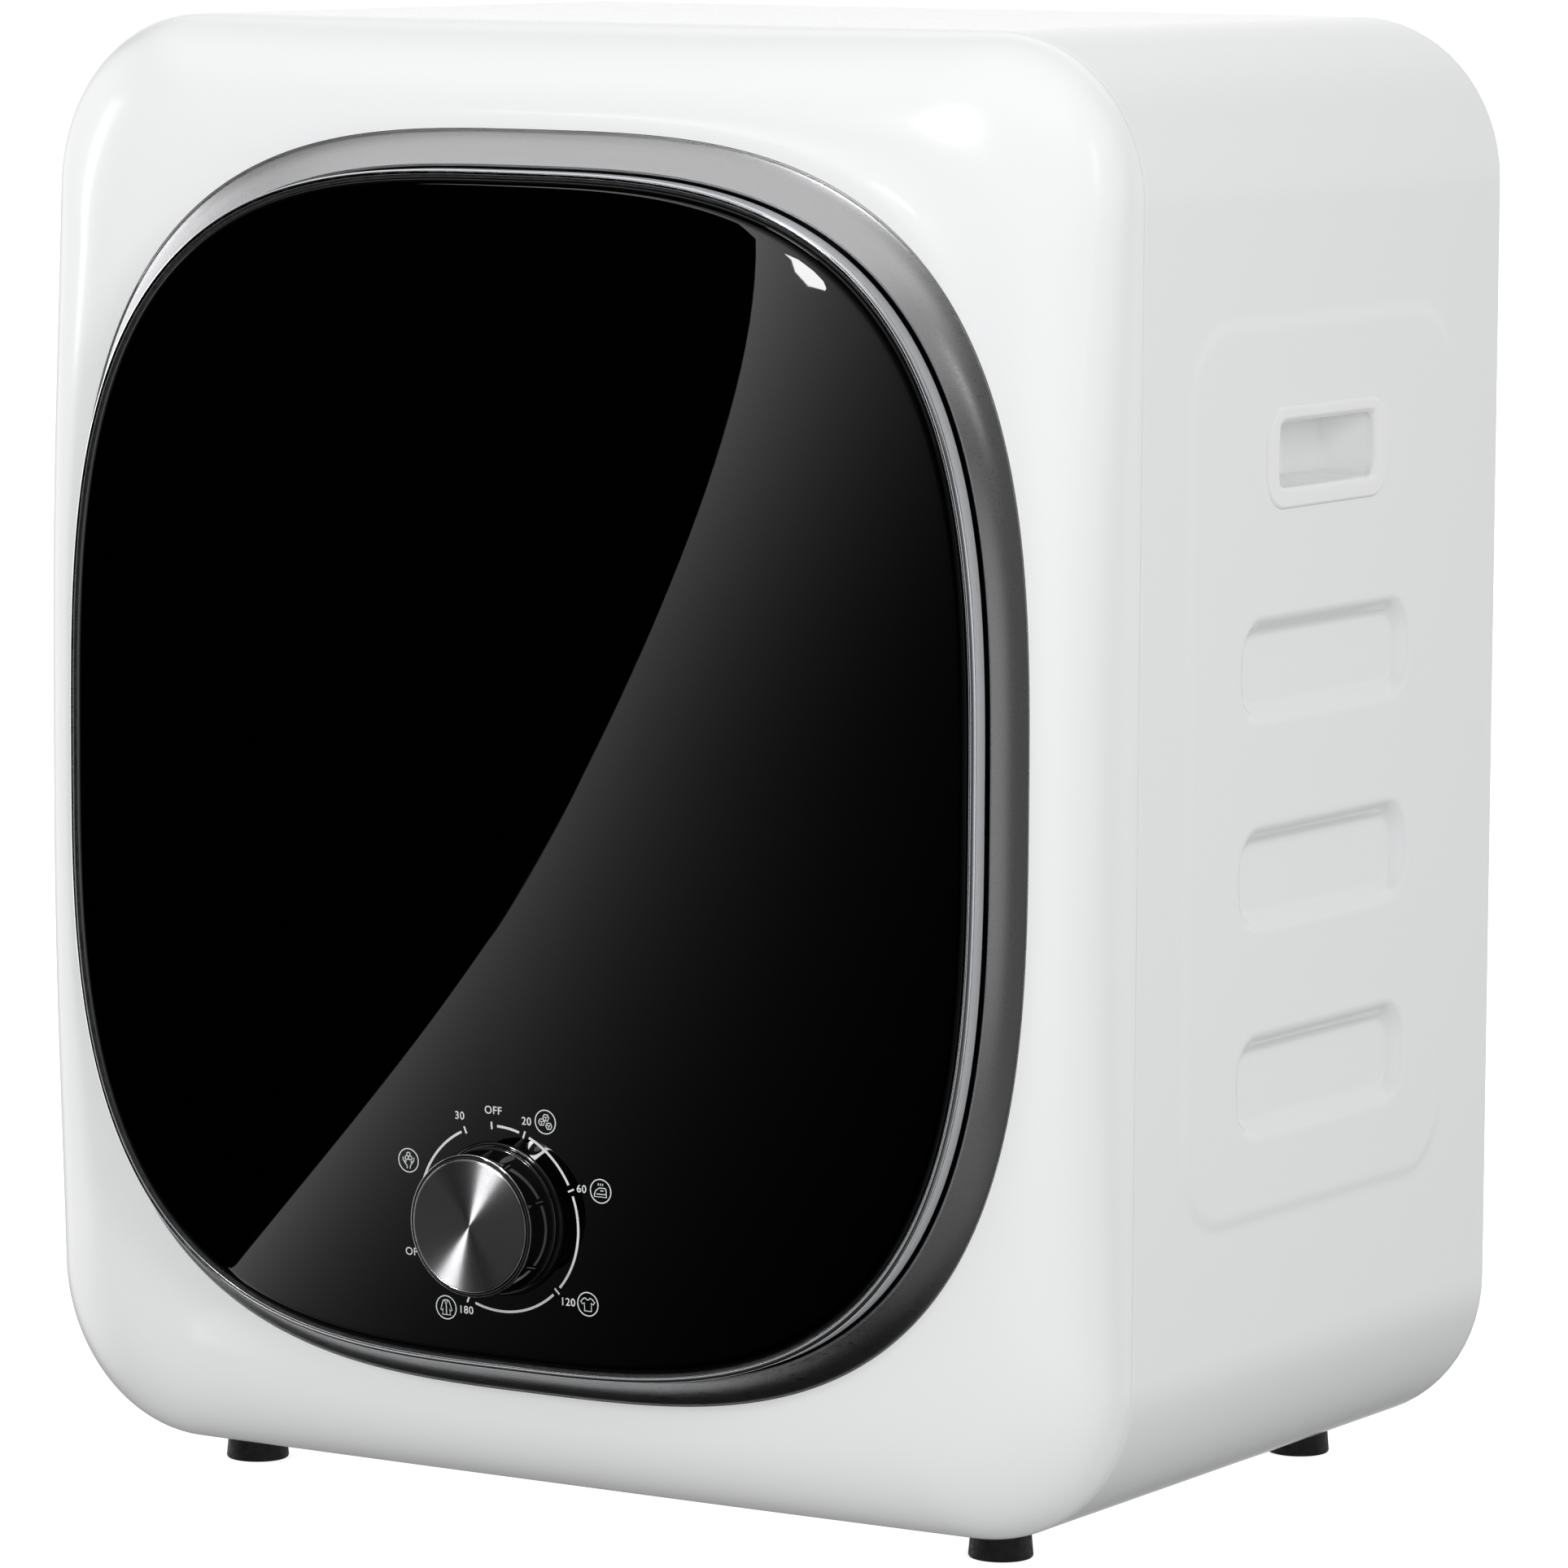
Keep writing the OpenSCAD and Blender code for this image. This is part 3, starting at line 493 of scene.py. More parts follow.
def side_relief(y, z):
    """Height of the pressed side over the flat sheet: a raised field with three finger hollows."""
    field = inside_rounded(y - FIELD_MID[0], z - FIELD_MID[1], *FIELD_HALF, FIELD_R)
    height = FIELD_RISE * smooth_step(field / FIELD_EASE + 0.5)
    for i in (1, 2, 3):
        hollow = inside_rounded(y - HOLLOW_Y, z - (CUP_Z - i * PITCH), *HOLLOW_HALF, HOLLOW_R)
        height -= HOLLOW_DEPTH * smooth_step(hollow / HOLLOW_EASE + 0.15)
    return height


def corner(quarter, steps):
    """Points (x, z) round one corner of the cabinet, each with its outward direction."""
    sx, sz = QUARTERS[quarter]
    points = []
    for a in np.linspace(0, 90, steps + 1):
        t = math.radians(90 * quarter + a)
        out = (math.cos(t), math.sin(t))
        x = sx * (HALF_W - CORNER_R) + CORNER_R * out[0]
        z = sz * (HALF_H - CORNER_R) + CORNER_R * out[1]
        points.append((x, z, *out))
    return points


def wrap_outline():
    """Stations round the wrapper: position, outward direction, and 1 on the two flat sides."""
    flat_x, flat_z = HALF_W - CORNER_R, HALF_H - CORNER_R
    side_z = np.arange(-flat_z, flat_z + 0.01, flat_z * 2 / 224)
    stations = []
    for quarter, (sx, sz) in enumerate(QUARTERS):
        stations += [(*point, 0) for point in corner(quarter, 16)]
        if quarter in (0, 2):
            along = np.linspace(sx * flat_x, -sx * flat_x, 14)
            stations += [(x, sz * HALF_H, 0, sz, 0) for x in along[1:-1]]
        else:
            along = side_z[::-1] if quarter == 1 else side_z
            stations += [(sx * HALF_W, z, sx, 0, 1) for z in along[1:-1]]
    return np.array(stations)


def cabinet_shell():
    """Sheet wrapper: raised field, finger hollows, rolled front and rear edges."""
    stations = wrap_outline()
    y_flat = np.concatenate([[0.8, 4, 10, 18], np.arange(26, 272, 2.0), [280, 290, 297, WRAP_D - 1.5]])
    front_roll = [(y, h) for h, y in arc(-0.6, 0.6, 0.6, 180, 360, 8)]
    rear_roll = [(y, h) for h, y in arc(-1.5, WRAP_D - 1.5, 1.5, 0, 180, 10)]
    section = [(y, 0.0, 1.0) for y in y_flat]
    section += [(y, h, 0.0) for y, h in rear_roll[1:]]
    section += [(y, -SHEET, 1.0) for y in y_flat[::-1][5:]]
    section += [(y, h, 0.0) for y, h in front_roll[:-1]]
    rings = []
    for y, offset, pressed in section:
        height = offset + pressed * stations[:, 4] * side_relief(y, stations[:, 1] + BODY_MID)
        rings.append(at_depth(stations[:, :2] + stations[:, 2:4] * height[:, None], y, BODY_MID))
    points, faces = loft(rings, closed=True)
    shell = piece(
        "cabinet_shell", points, faces, "cabinet", BODY_PAINT, ["cabinet_wrap"], sharp=50
    )
    for side in (-1, 1):
        middle = np.array([side * HALF_W, CUP_Y, CUP_Z])
        reach = np.array([4, *CUP_HOLE_HALF])
        cut(shell, tool_box(middle - reach, middle + reach))
    shade(shell, 50)
    return shell


def front_moulding():
    """White front: a quarter-ellipse roll from the seam to the edge of the silver surround."""
    outline = []
    for quarter in range(4):
        turn = np.array(corner(quarter, 32))[:, :2]
        run = np.array(corner((quarter + 1) % 4, 32)[0][:2]) - turn[-1]
        outline += [*turn, *(turn[-1] + run * share for share in np.linspace(0, 1, 66)[1:-1])]
    outline = np.array(outline)
    dx, dz = outline[:, 0], outline[:, 1] + BODY_MID - SURROUND_Z
    angle, reach = np.arctan2(dz, dx), np.hypot(dx, dz)
    edge = squircle_r(angle, SURROUND_A + 0.4, SURROUND_B + 0.4)

    def ring(phi, inset):
        run = 1 - math.cos(phi)
        r = (reach - inset) * (1 - run) + edge * run
        y = -(PANEL_BULGE - inset) * math.sin(phi) - 0.6
        return np.stack([r * np.cos(angle), np.full(len(r), y), r * np.sin(angle) + SURROUND_Z], 1)

    turns = np.linspace(0, math.pi / 2, 41)
    rings = [ring(phi, 0) for phi in turns] + [ring(phi, 2.6) for phi in turns[::-4]]
    points, faces = loft(rings, closed=True)
    return piece(
        "front_shell", points, faces, "cabinet", FRONT_WHITE, ["front_panel"], sharp=50
    )


def surround_ring():
    """Silver dish between front and door: two fine beads, a hollow flank, an inner wall."""
    across, up = SURROUND_A - GLASS_A, SURROUND_B - GLASS_B
    rise = SURROUND_Z - DOOR_Z
    lip = TRIM_W + 0.9
    inner = lip + 0.9

    def flank(share, y):
        return (
            across + (inner - across) * share,
            y,
            up + (inner - up) * share,
            rise * (1 - share),
        )

    section = [flank(s, y) for s, y in ((-0.02, -PANEL_BULGE + 0.9), (-0.02, -PANEL_BULGE - 0.25))]
    section += [flank(s, y) for s, y in ((0.0, -PANEL_BULGE - 0.5), (0.035, -PANEL_BULGE - 0.45))]
    for share in np.linspace(0.07, 1, 22):
        sag = 1.5 * math.sin(math.pi * share)
        section.append(flank(share, -PANEL_BULGE - 0.15 + (PANEL_BULGE - FLANK_BACK) * share + sag))
    section += even(arc(lip + 0.25, -FLANK_BACK + 0.45, 0.6, 290, 180, 6))
    section += even([(lip - 0.35, -FLANK_BACK + 2), (lip - 0.35, -26.8), (lip + 2, -26.8)])
    section += even([(lip + 2, -FLANK_BACK + 5.0)])
    section.append((across - 2, -PANEL_BULGE + 2.6, up - 2, rise))
    return ring_piece(
        "surround_ring", section, "cabinet", SURROUND_SILVER, ["door_surround"], 50
    )


# ---- door --------------------------------------------------------------------
GLASS_INSET = 0.7


def crown_power(share):
    """Outline power of the crown's level lines: an ellipse in the middle, a squircle at its rim."""
    return 2 + (SQUIRCLE_N - 2) * share * share


def glass_front(share):
    """Depth of the glass's front face at a share of the way to its rim."""
    return -GLASS_RIM - GLASS_CROWN * (1 - share * share)


def glass_y(x, z):
    """Depth of the glass's front under a point."""
    dz = np.asarray(z, float) - DOOR_Z
    angle, reach = np.arctan2(dz, x), np.hypot(x, dz)
    low, high = np.zeros(np.shape(reach)), np.full(np.shape(reach), 1.3)
    for _ in range(40):
        share = (low + high) / 2
        inside = share * squircle_r(angle, GLASS_A, GLASS_B, crown_power(share)) < reach
        low, high = np.where(inside, share, low), np.where(inside, high, share)
    return glass_front((low + high) / 2)


def door_glass():
    """Crowned glass with a pencil-ground edge and a hole for the dial's seat."""

    def ring(share, y):
        flat = squircle(GLASS_A - GLASS_INSET, GLASS_B - GLASS_INSET, crown_power(share)) * share
        return at_depth(flat, y, DOOR_Z)

    shares = np.concatenate([[0.004, 0.02, 0.04], np.linspace(0.06, 0.96, 46), [0.975, 0.985]])
    edge = 1.1
    reach = (GLASS_A + GLASS_B) / 2
    rings = [ring(s, glass_front(s)) for s in shares]
    for a in np.linspace(15, 90, 7):
        t = math.radians(a)
        share = 1 - edge * (1 - math.sin(t)) / reach
        rings.append(ring(share, glass_front(share) + edge * (1 - math.cos(t))))
    rings += [ring(s, glass_front(s) + GLASS_T) for s in np.concatenate([[1.0], shares[::-4]])]
    points, faces = loft(rings)
    size = len(rings[0])
    faces.append(tuple(range(size)))
    faces.append(tuple(range((len(rings) - 1) * size, len(rings) * size)))
    name, slot = "door_glass_panel", "door_black_glass"
    glass = piece(name, points, faces, "door", BLACK_GLASS, ["door_glass"], sharp=60)
    cut(glass, tool_rod(0, DIAL_Z, SEAT_R + 0.2, -85, -45))
    shade(glass, 60)
    return glass


def trim_notch():
    """Space for the concealed hinge, on the door's left edge."""
    low, high = box_mm("hinge_door_leaf")
    return tool_box((low[0] - 4, -GLASS_RIM + 4.1, low[2] - 3), (low[0] + 13, -40, high[2] + 3))


def door_trim():
    """Edge of the door: a black seal in a narrow slot, a bright rounded lip, and a satin side wall."""
    front = -GLASS_RIM
    slot = 0.5
    seal = even([(-0.6, front + 1.5), (slot, front + 1.3), (slot, front + 4.0), (-0.6, front + 4.0)])
    ring_piece("door_trim_seal", seal, "door", CAD_FINISHES["seal_rubber"], [], 35)
    lip = even(
        [(slot, front + 2.0), (slot, front + 0.3)]
        + arc(slot + 0.3, front + 0.3, 0.3, 180, 270, 4)
        + arc(TRIM_W - 1.0, front + 1.0, 1.0, 270, 360, 8)
        + [(TRIM_W, front + 2.0)]
    )
    ring_piece("door_trim_lip", lip, "door", TRIM_BRIGHT, [], 35)
    wall = even(
        [(slot, front + 2.05), (TRIM_W - 0.05, front + 2.05), (TRIM_W - 0.05, front + 2.3)]
        + [(TRIM_W - 0.05, -TRIM_BACK - 0.4)]
        + arc(TRIM_W - 0.45, -TRIM_BACK - 0.4, 0.4, 0, 90, 4)
        + [(-9, -TRIM_BACK), (-9, front + 4.5), (slot, front + 4.5)]
    )
    ring = ring_piece("door_trim_wall", wall, "door", TRIM_SILVER, ["door_trim"], 35)
    cut(ring, trim_notch())
    shade(ring, 35)
    return ring


# ---- knob and dial -----------------------------------------------------------
def dial():
    """Seat ring, timer knob with chrome rings, and its spun face."""
    seat_front = box_mm("dial_seat")[0][1]
    seat = [(5, seat_front), (SEAT_R - 1.2, seat_front)]
    seat += arc(SEAT_R - 1.0, seat_front + 1.0, 1.0, 270, 360, 6)
    seat += [(SEAT_R, -55), (5, -55)]
    lathe("dial_seat_ring", seat, 0, DIAL_Z, "door", PIANO_BLACK, ["dial_seat"])

    skirt = -65.3
    face = -KNOB_FRONT
    wall = KNOB_R - 0.6
    shell = [(3, skirt), (KNOB_R - 0.4, skirt)]
    shell += arc(KNOB_R - 0.5, skirt - 0.5, 0.5, 90, 0, 4)
    shell += arc(KNOB_R - 0.5, skirt - 1.7, 0.5, 0, -90, 4)
    shell += [(wall, skirt - 2.6), (wall, face + 2.4)]
    shell += arc(wall - 1.0, face + 1.9, 1.0, 0, -90, 8)
    shell += [(wall - 1.9, face + 0.95), (wall - 2.05, face + 2.2), (3, face + 2.2)]
    lathe("knob_body", shell, 0, DIAL_Z, "knob", PIANO_BLACK, ["knob_shell"], 256)

    disc = KNOB_R - 2.95
    plate = [(0, face + 0.02), (disc - 0.5, face + 0.02)]
    plate += arc(disc - 0.45, face + 0.45, 0.43, -90, 0, 5)
    plate += [(disc, face + 2.1), (0, face + 2.1)]
    lathe("knob_disc", plate, 0, DIAL_Z, "knob", SPUN_FACE, ["knob_face"], 256, 50)

    for name, radius, y in (
        ("knob_ring_skirt", KNOB_R - 0.2, skirt - 1.1),
        ("knob_ring_front", wall - 0.35, face + 1.35),
        ("knob_ring_disc", disc + 0.12, face + 0.4),
    ):
        wire = arc(radius, y, 0.24, 0, 330, 11)
        lathe(name, wire, 0, DIAL_Z, "knob", CHROME, (), 256, 80)


def on_dial(clock, radius):
    """Point (x, z) on the dial; clock is degrees clockwise from the top."""
    t = math.radians(clock)
    return radius * math.sin(t), DIAL_Z + radius * math.cos(t)


def unit(rows):
    """Each row scaled to a length of one."""
    return rows / np.linalg.norm(rows, axis=1)[:, None]


def ribbon(line, width, closed=False):
    """Faces of a flat stroke of that width along points (x, z)."""
    line = np.asarray(line, float)
    ahead = np.roll(line, -1, 0) - line
    behind = line - np.roll(line, 1, 0)
    if not closed:
        ahead[-1], behind[0] = behind[-1], ahead[0]
    run = unit(unit(ahead) + unit(behind))
    side = np.stack([-run[:, 1], run[:, 0]], 1) * width / 2
    flat = np.concatenate([line + side, line - side])
    count = len(line)
    faces = [
        (k, (k + 1) % count, (k + 1) % count + count, k + count)
        for k in range(count if closed else count - 1)
    ]
    return flat, faces


INK = 0.12
SCALE_R = 37.6
ICON_R = 4.75
THIN = 0.36


def ink(name, strokes):
    """Printed strokes as thin solid ribbons on the glass."""
    points, faces = [], []
    for flat, quads in strokes:
        base = len(points)
        count = len(flat)
        depth = glass_y(flat[:, 0], flat[:, 1])
        for lift in (INK, -0.02):
            points += [(x, d - lift, z) for (x, z), d in zip(flat, depth)]
        for quad in quads:
            faces.append(tuple(base + i for i in quad))
            faces.append(tuple(base + count + i for i in quad[::-1]))
        edges = {(a, b): True for quad in quads for a, b in zip(quad, quad[1:] + quad[:1])}
        for a, b in edges:
            if (b, a) not in edges:
                faces.append((base + a, base + b, base + count + b, base + count + a))
    return piece(name, points, faces, "door", PRINT_WHITE, (), 30)


def scale_marks():
    """Ring of the timer's scale, broken at its ticks."""
    strokes = []
    for start, end in ((1, 17), (24.5, 63.4), (70.6, 132), (138.7, 199.6), (262, 334)):
        line = [on_dial(a, SCALE_R) for a in np.linspace(start, end, 4 + int(end - start) // 2)]
        strokes.append(ribbon(line, 1.0))
    for a in (357, 20.7, 67.0, 135.2, 205.0, 337.1):
        strokes.append(ribbon([on_dial(a, SCALE_R - 1.4), on_dial(a, SCALE_R + 1.6)], 0.75))
    return ink("dial_scale", strokes)


def icons():
    """Generic programme icons: three balls, an iron, a shirt, a coat, and warm hands."""
    strokes = []
    middle = np.zeros(2)

    def draw(points, closed=False, width=THIN):
        """A stroke through points round the icon's middle."""
        strokes.append(ribbon(middle + np.asarray(points), width, closed))

    def icon(dx, dz):
        """Goes to the next icon's middle and draws the circle round it."""
        middle[:] = dx, DIAL_Z + dz
        draw(circle(0, 0, ICON_R), True, 0.42)

    icon(23.5, 41.3)
    for x, z in ((0.3, 1.75), (-1.75, -0.15), (1.6, -1.55)):
        draw(circle(x, z, 1.45, 6), True)
        for a in np.radians((30, 150, 270)):
            draw([(x, z), (x + 0.85 * math.cos(a), z + 0.85 * math.sin(a))], width=THIN * 0.8)
    icon(48.6, 15.8)
    iron = [(-2.9, -2.3), (2.7, -2.3), (2.5, 0.9), (2.0, 1.3), (-0.6, 1.3), (-2.2, 0.2)]
    draw(iron + [(-2.9, -1.2)], True)
    draw([(-2.0, -1.2), (2.4, -1.2)])
    draw([(-0.2, 0.2), (1.4, 0.2)])
    for x in (-1.0, 0.0, 1.0):
        draw([(x, 2.2), (x, 3.1)])
    icon(40.9, -30.5)
    shirt = [(-1.1, 2.5), (-2.1, 2.1), (-3.3, 0.9), (-2.4, -0.1), (-1.6, 0.5), (-1.6, -2.8)]
    shirt += [(1.6, -2.8), (1.6, 0.5), (2.4, -0.1), (3.3, 0.9), (2.1, 2.1), (1.1, 2.5)]
    draw(shirt + [(0.6, 1.9), (0.0, 1.7), (-0.6, 1.9)], True)
    icon(-26.8, -38.7)
    coat = [(-0.7, 3.1), (-1.5, 2.6), (-2.7, -1.0), (-1.8, -1.4), (-1.5, -0.4), (-1.9, -3.0)]
    coat += [(1.9, -3.0), (1.5, -0.4), (1.8, -1.4), (2.7, -1.0), (1.5, 2.6), (0.7, 3.1)]
    draw(coat, True)
    draw([(-0.7, 3.0), (0.0, 0.9), (0.7, 3.0)])
    draw([(0.0, 0.9), (0.0, -2.9)])
    icon(-42.5, 19.8)
    for side in (-1, 1):
        draw([(side * x, z) for x, z in ((0.7, -3.3), (0.8, -2.2), (1.6, -1.2), (2.5, 0.0), (2.7, 1.3))])
        draw([(side * x, z) for x, z in ((1.9, -0.4), (1.2, -0.3), (1.3, -1.0))])
    for a in np.radians((90, 210, 330)):
        draw(circle(0.95 * math.cos(a), 1.5 + 0.95 * math.sin(a), 0.8, 20), True)
    return ink("dial_icons", strokes)


def word(text, x, z, height):
    """A generic dial word as a thin solid on the glass."""
    curve = bpy.data.curves.new("dial_word", "FONT")
    curve.body = text
    curve.size = height * 1.38 * MM
    curve.space_character = 1.08
    curve.align_x = "CENTER"
    curve.align_y = "CENTER"
    curve.extrude = 0.06 * MM
    curve.offset = 0.03 * MM
    draft = add_object("dial_word", curve)
    bpy.context.view_layer.update()
    mesh = bpy.data.meshes.new_from_object(draft.evaluated_get(bpy.context.evaluated_depsgraph_get()))
    bpy.data.objects.remove(draft)
    tilt = math.atan2(float(glass_y(x, z + 1) - glass_y(x, z - 1)), 2.0)
    turn = math.atan2(float(glass_y(x + 1, z) - glass_y(x - 1, z)), 2.0)
    centre = Vector((x * MM, (SEAM_Y + float(glass_y(x, z)) - 0.07) * MM, z * MM))
    lie = Matrix.Rotation(turn, 4, "Z") @ Matrix.Rotation(math.pi / 2 - tilt, 4, "X")
    mesh.transform(Matrix.Translation(centre) @ lie)
    return mesh


def dial_words():
    """Minutes and OFF marks round the scale, joined in one piece."""
    work = bmesh.new()
    for text, dx, dz in (
        ("OFF", -1.1, 43.7),
        ("20", 14.6, 40.7),
        ("60", 39.7, 15.8),
        ("120", 31.5, -30.7),
        ("180", -17.3, -38.9),
        ("OFF", -41.4, -17.5),
        ("30", -17.2, 40.2),
    ):
        mesh = word(text, dx, DIAL_Z + dz, 3.25)
        work.from_mesh(mesh)
        bpy.data.meshes.remove(mesh)
    mesh = bpy.data.meshes.new("dial_words")
    work.to_mesh(mesh)
    work.free()
    obj = add_object("dial_words", mesh)
    obj.data.materials.append(PRINT_WHITE)
    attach(obj, "door")
    return obj


# ---- handle cups -------------------------------------------------------------
def rounded_outline(half_y, half_z, radius):
    """Points (y, z) of a rounded rectangle."""
    points = []
    for quarter, (sy, sz) in enumerate(QUARTERS):
        for a in np.linspace(0, 90, 40):
            t = math.radians(90 * quarter + a)
            y = sy * (half_y - radius) + radius * math.cos(t)
            points.append((y, sz * (half_z - radius) + radius * math.sin(t)))
    return np.array(points)


def pocket_outline(depth, inset, radius, angles):
    """Outline of the lifting pocket at a depth, as points (back, up) round its middle.

    The pocket is a box with draft whose rear end is cut by a slope, so that fingers slide in from
    behind.
    """
    middle = np.array([-1.0, 1.2])
    away = np.stack([np.cos(angles), np.sin(angles)], 1)
    planes = (
        ((-1.0, 0.0), 40.5 - 0.15 * depth),
        ((0.0, -1.0), 11.5 - 0.07 * depth),
        ((0.0, 1.0), 14.0 - 0.12 * depth),
        ((1.0, 0.0), 40.5 - 0.12 * depth),
        ((2.08, 0.52), 91.5 - depth),
    )
    low, high = np.zeros(len(angles)), np.full(len(angles), 80.0)
    for _ in range(40):
        reach = (low + high) / 2
        at = middle + away * reach[:, None]
        over = []
        for normal, limit in planes:
            size = math.hypot(*normal)
            over.append((at @ np.array(normal) - limit) / size + inset)
        over = np.array(over)
        peak = over.max(0)
        soft = peak + radius * np.log(np.exp((over - peak) / radius).sum(0))
        low, high = np.where(soft < 0, reach, low), np.where(soft < 0, high, reach)
    return middle + away * low[:, None]


def handle_cup(side, name, node):
    """Moulded lifting cup: a soft-edged flange round a drafted pocket."""
    low, high = box_mm(node)
    lip = max(abs(low[0]), abs(high[0])) - HALF_W
    back = HALF_W - min(abs(low[0]), abs(high[0]))
    floor = back - 2.2
    mid_y, mid_z = (low[1] + high[1]) / 2, (low[2] + high[2]) / 2
    half_y, half_z = (high[1] - low[1]) / 2, (high[2] - low[2]) / 2
    flange = rounded_outline(half_y, half_z, 14)
    order = np.arctan2(flange[:, 1] / half_z, flange[:, 0] / half_y)
    spin = np.unwrap(np.concatenate([order, [order[0]]]))[:-1]
    angles = np.arctan2(np.sin(spin) * half_z, np.cos(spin) * half_y)
    rings, behind = [], []

    def ring(flat, x, rows=rings):
        rows.append(np.stack([np.full(len(flat), x), mid_y + flat[:, 0], mid_z + flat[:, 1]], 1))

    def shrunk(inset):
        ratio = np.array([(half_y - inset) / half_y, (half_z - inset) / half_z])
        return flange * ratio

    ring(shrunk(0.5), -0.1)
    ring(shrunk(0), 0.15)
    for a in np.linspace(0, 90, 7):
        t = math.radians(a)
        ring(shrunk(1.6 * (1 - math.cos(t))), 0.15 + (lip - 0.15) * math.sin(t))
    for a in np.linspace(0, 90, 8):
        t = math.radians(a)
        mouth = pocket_outline(0, -2.4 * (1 - math.sin(t)), 2.0, angles)
        ring(mouth, lip * 0.94 - 2.4 * (1 - math.cos(t)))
    for depth in np.linspace(2.2, floor - 1.6, 14):
        ring(pocket_outline(depth, 0, 1.3, angles), -depth)
    for a in np.linspace(15, 90, 6):
        t = math.radians(a)
        depth = floor - 1.6 * (1 - math.sin(t))
        ring(pocket_outline(depth, 1.8 * (1 - math.cos(t)), 1.3, angles), -depth)
    points, faces = loft(rings)
    size = len(rings[0])
    last = len(rings) - 1
    faces.append(tuple(range(last * size, (last + 1) * size)))
    start = len(points)
    tub = rounded_outline(44.5, 15.5, 7)
    for flat, x in ((shrunk(0.5), -0.1), (tub, -0.2), (tub, -back)):
        ring(flat, x, behind)
    back_points, back_faces = loft(behind)
    faces += [tuple(i + start for i in face) for face in back_faces]
    faces.append(tuple(range(start + 2 * size, start + 3 * size)))
    points = np.concatenate([points, back_points])
    points[:, 0] = side * (HALF_W + points[:, 0])
    return piece(name, points, faces, "cabinet", CUP_WHITE, [node], sharp=60)


# ---- feet --------------------------------------------------------------------
def feet():
    """Turned rubber feet with a soft bottom edge."""
    low, high = box_mm("rubber_feet")
    radius = 13.0
    section = [(6.2, 0.6), (7.0, 0.05), (radius - 1.4, 0.0)]
    section += arc(radius - 1.2, 1.2, 1.2, -80, 0, 5)
    section += [(radius - 0.35, 5.0), (radius - 0.9, high[2] - 1.2), (radius - 1.1, high[2])]
    section += [(3.1, high[2]), (3.1, 5.2), (6.2, 5.0)]
    points, faces = [], []
    for x in (low[0] + radius, high[0] - radius):
        for y in (low[1] + radius, high[1] - radius):
            rings = [[(*place, z) for place in circle(x, y, r, 64)] for r, z in section]
            ring_points, ring_faces = loft(rings, closed=True)
            base = len(points)
            points += ring_points.tolist()
            faces += [tuple(base + i for i in face) for face in ring_faces]
    return piece(
        "feet", points, faces, "cabinet", CAD_FINISHES["foot_rubber"], ["rubber_feet"], 40
    )


# ---- studio ------------------------------------------------------------------
def level_object(name, points, faces, levels):
    """A studio surface with a brightness stored on its corners."""
    mesh = bpy.data.meshes.new(name)
    mesh.from_pydata(points, [], faces)
    layer = mesh.attributes.new("level", "FLOAT", "POINT")
    layer.data.foreach_set("value", np.array(levels, np.float32))
    return add_object(name, mesh)


def read_level(tree, socket):
    """Feeds the stored brightness to a strength socket."""
    attribute = tree.nodes.new("ShaderNodeAttribute")
    attribute.attribute_name = "level"
    tree.links.new(attribute.outputs["Fac"], socket)


def card(name, points, faces, levels):
    """A glowing card that only reflections see."""
    obj = level_object(name, points, faces, levels)
    material = bpy.data.materials.new(name)
    material.use_nodes = True
    tree = material.node_tree
    tree.nodes.clear()
    glow = tree.nodes.new("ShaderNodeEmission")
    glow.inputs["Color"].default_value = (1, 1, 1, 1)
    read_level(tree, glow.inputs["Strength"])
    out = tree.nodes.new("ShaderNodeOutputMaterial")
    tree.links.new(glow.outputs["Emission"], out.inputs["Surface"])
    obj.data.materials.append(material)
    for ray in ("camera", "diffuse", "shadow", "transmission", "volume_scatter"):
        setattr(obj, "visible_" + ray, False)


def grey_card():
    """Dim card before the door, brightest along its curved left edge, and a small bright gap in it."""
    columns, rows = 60, 90
    points, faces, levels = [], [], []
    for z in np.linspace(-1.7, 1.3, rows):
        edge = -1.584 + 0.707 * z - 0.531 * z * z - 0.239 * z**3
        lift = 1 + 2.4 * max(z, 0) ** 2 + 0.6 * min(z, 0) ** 2
        for u in np.linspace(0, 1.4, columns):
            points.append((edge + u, -3.0, z))
            levels.append(0.95 * lift * math.exp(-4.45 * u))
    for r in range(rows - 1):
        for c in range(columns - 1):
            i = r * columns + c
            faces.append((i, i + 1, i + columns + 1, i + columns))
    card("grey_card", points, faces, levels)
    gap = [(-1.365, 0.695), (-1.335, 0.655), (-1.30, 0.628), (-1.262, 0.614)]
    gap += [(-1.262, 0.640), (-1.285, 0.665), (-1.325, 0.690)]
    card("card_gap", [(x, -2.99, z) for x, z in gap], [tuple(range(len(gap)))], [22.0] * len(gap))


def area_light(name, azimuth, height, distance, wide, high, power, shape, seen):
    """A soft box in metres that points at the machine; seen picks diffuse light, shine or both."""
    data = bpy.data.lights.new(name, "AREA")
    data.shape = shape
    data.size = wide
    data.size_y = high
    data.energy = power
    light = add_object(name, data)
    away = toward(azimuth, height)
    light.location = AIM + distance * away
    light.rotation_mode = "QUATERNION"
    light.rotation_quaternion = (-distance * away).to_track_quat("-Z", "Y")
    light.visible_camera = False
    light.visible_diffuse = seen != "shine"
    light.visible_glossy = seen != "fill"
    return light


def toward(azimuth, height):
    """Direction to the right of the front by azimuth and above level by height, in degrees."""
    a, h = math.radians(azimuth), math.radians(height)
    return Vector((math.sin(a) * math.cos(h), -math.cos(a) * math.cos(h), math.sin(h)))


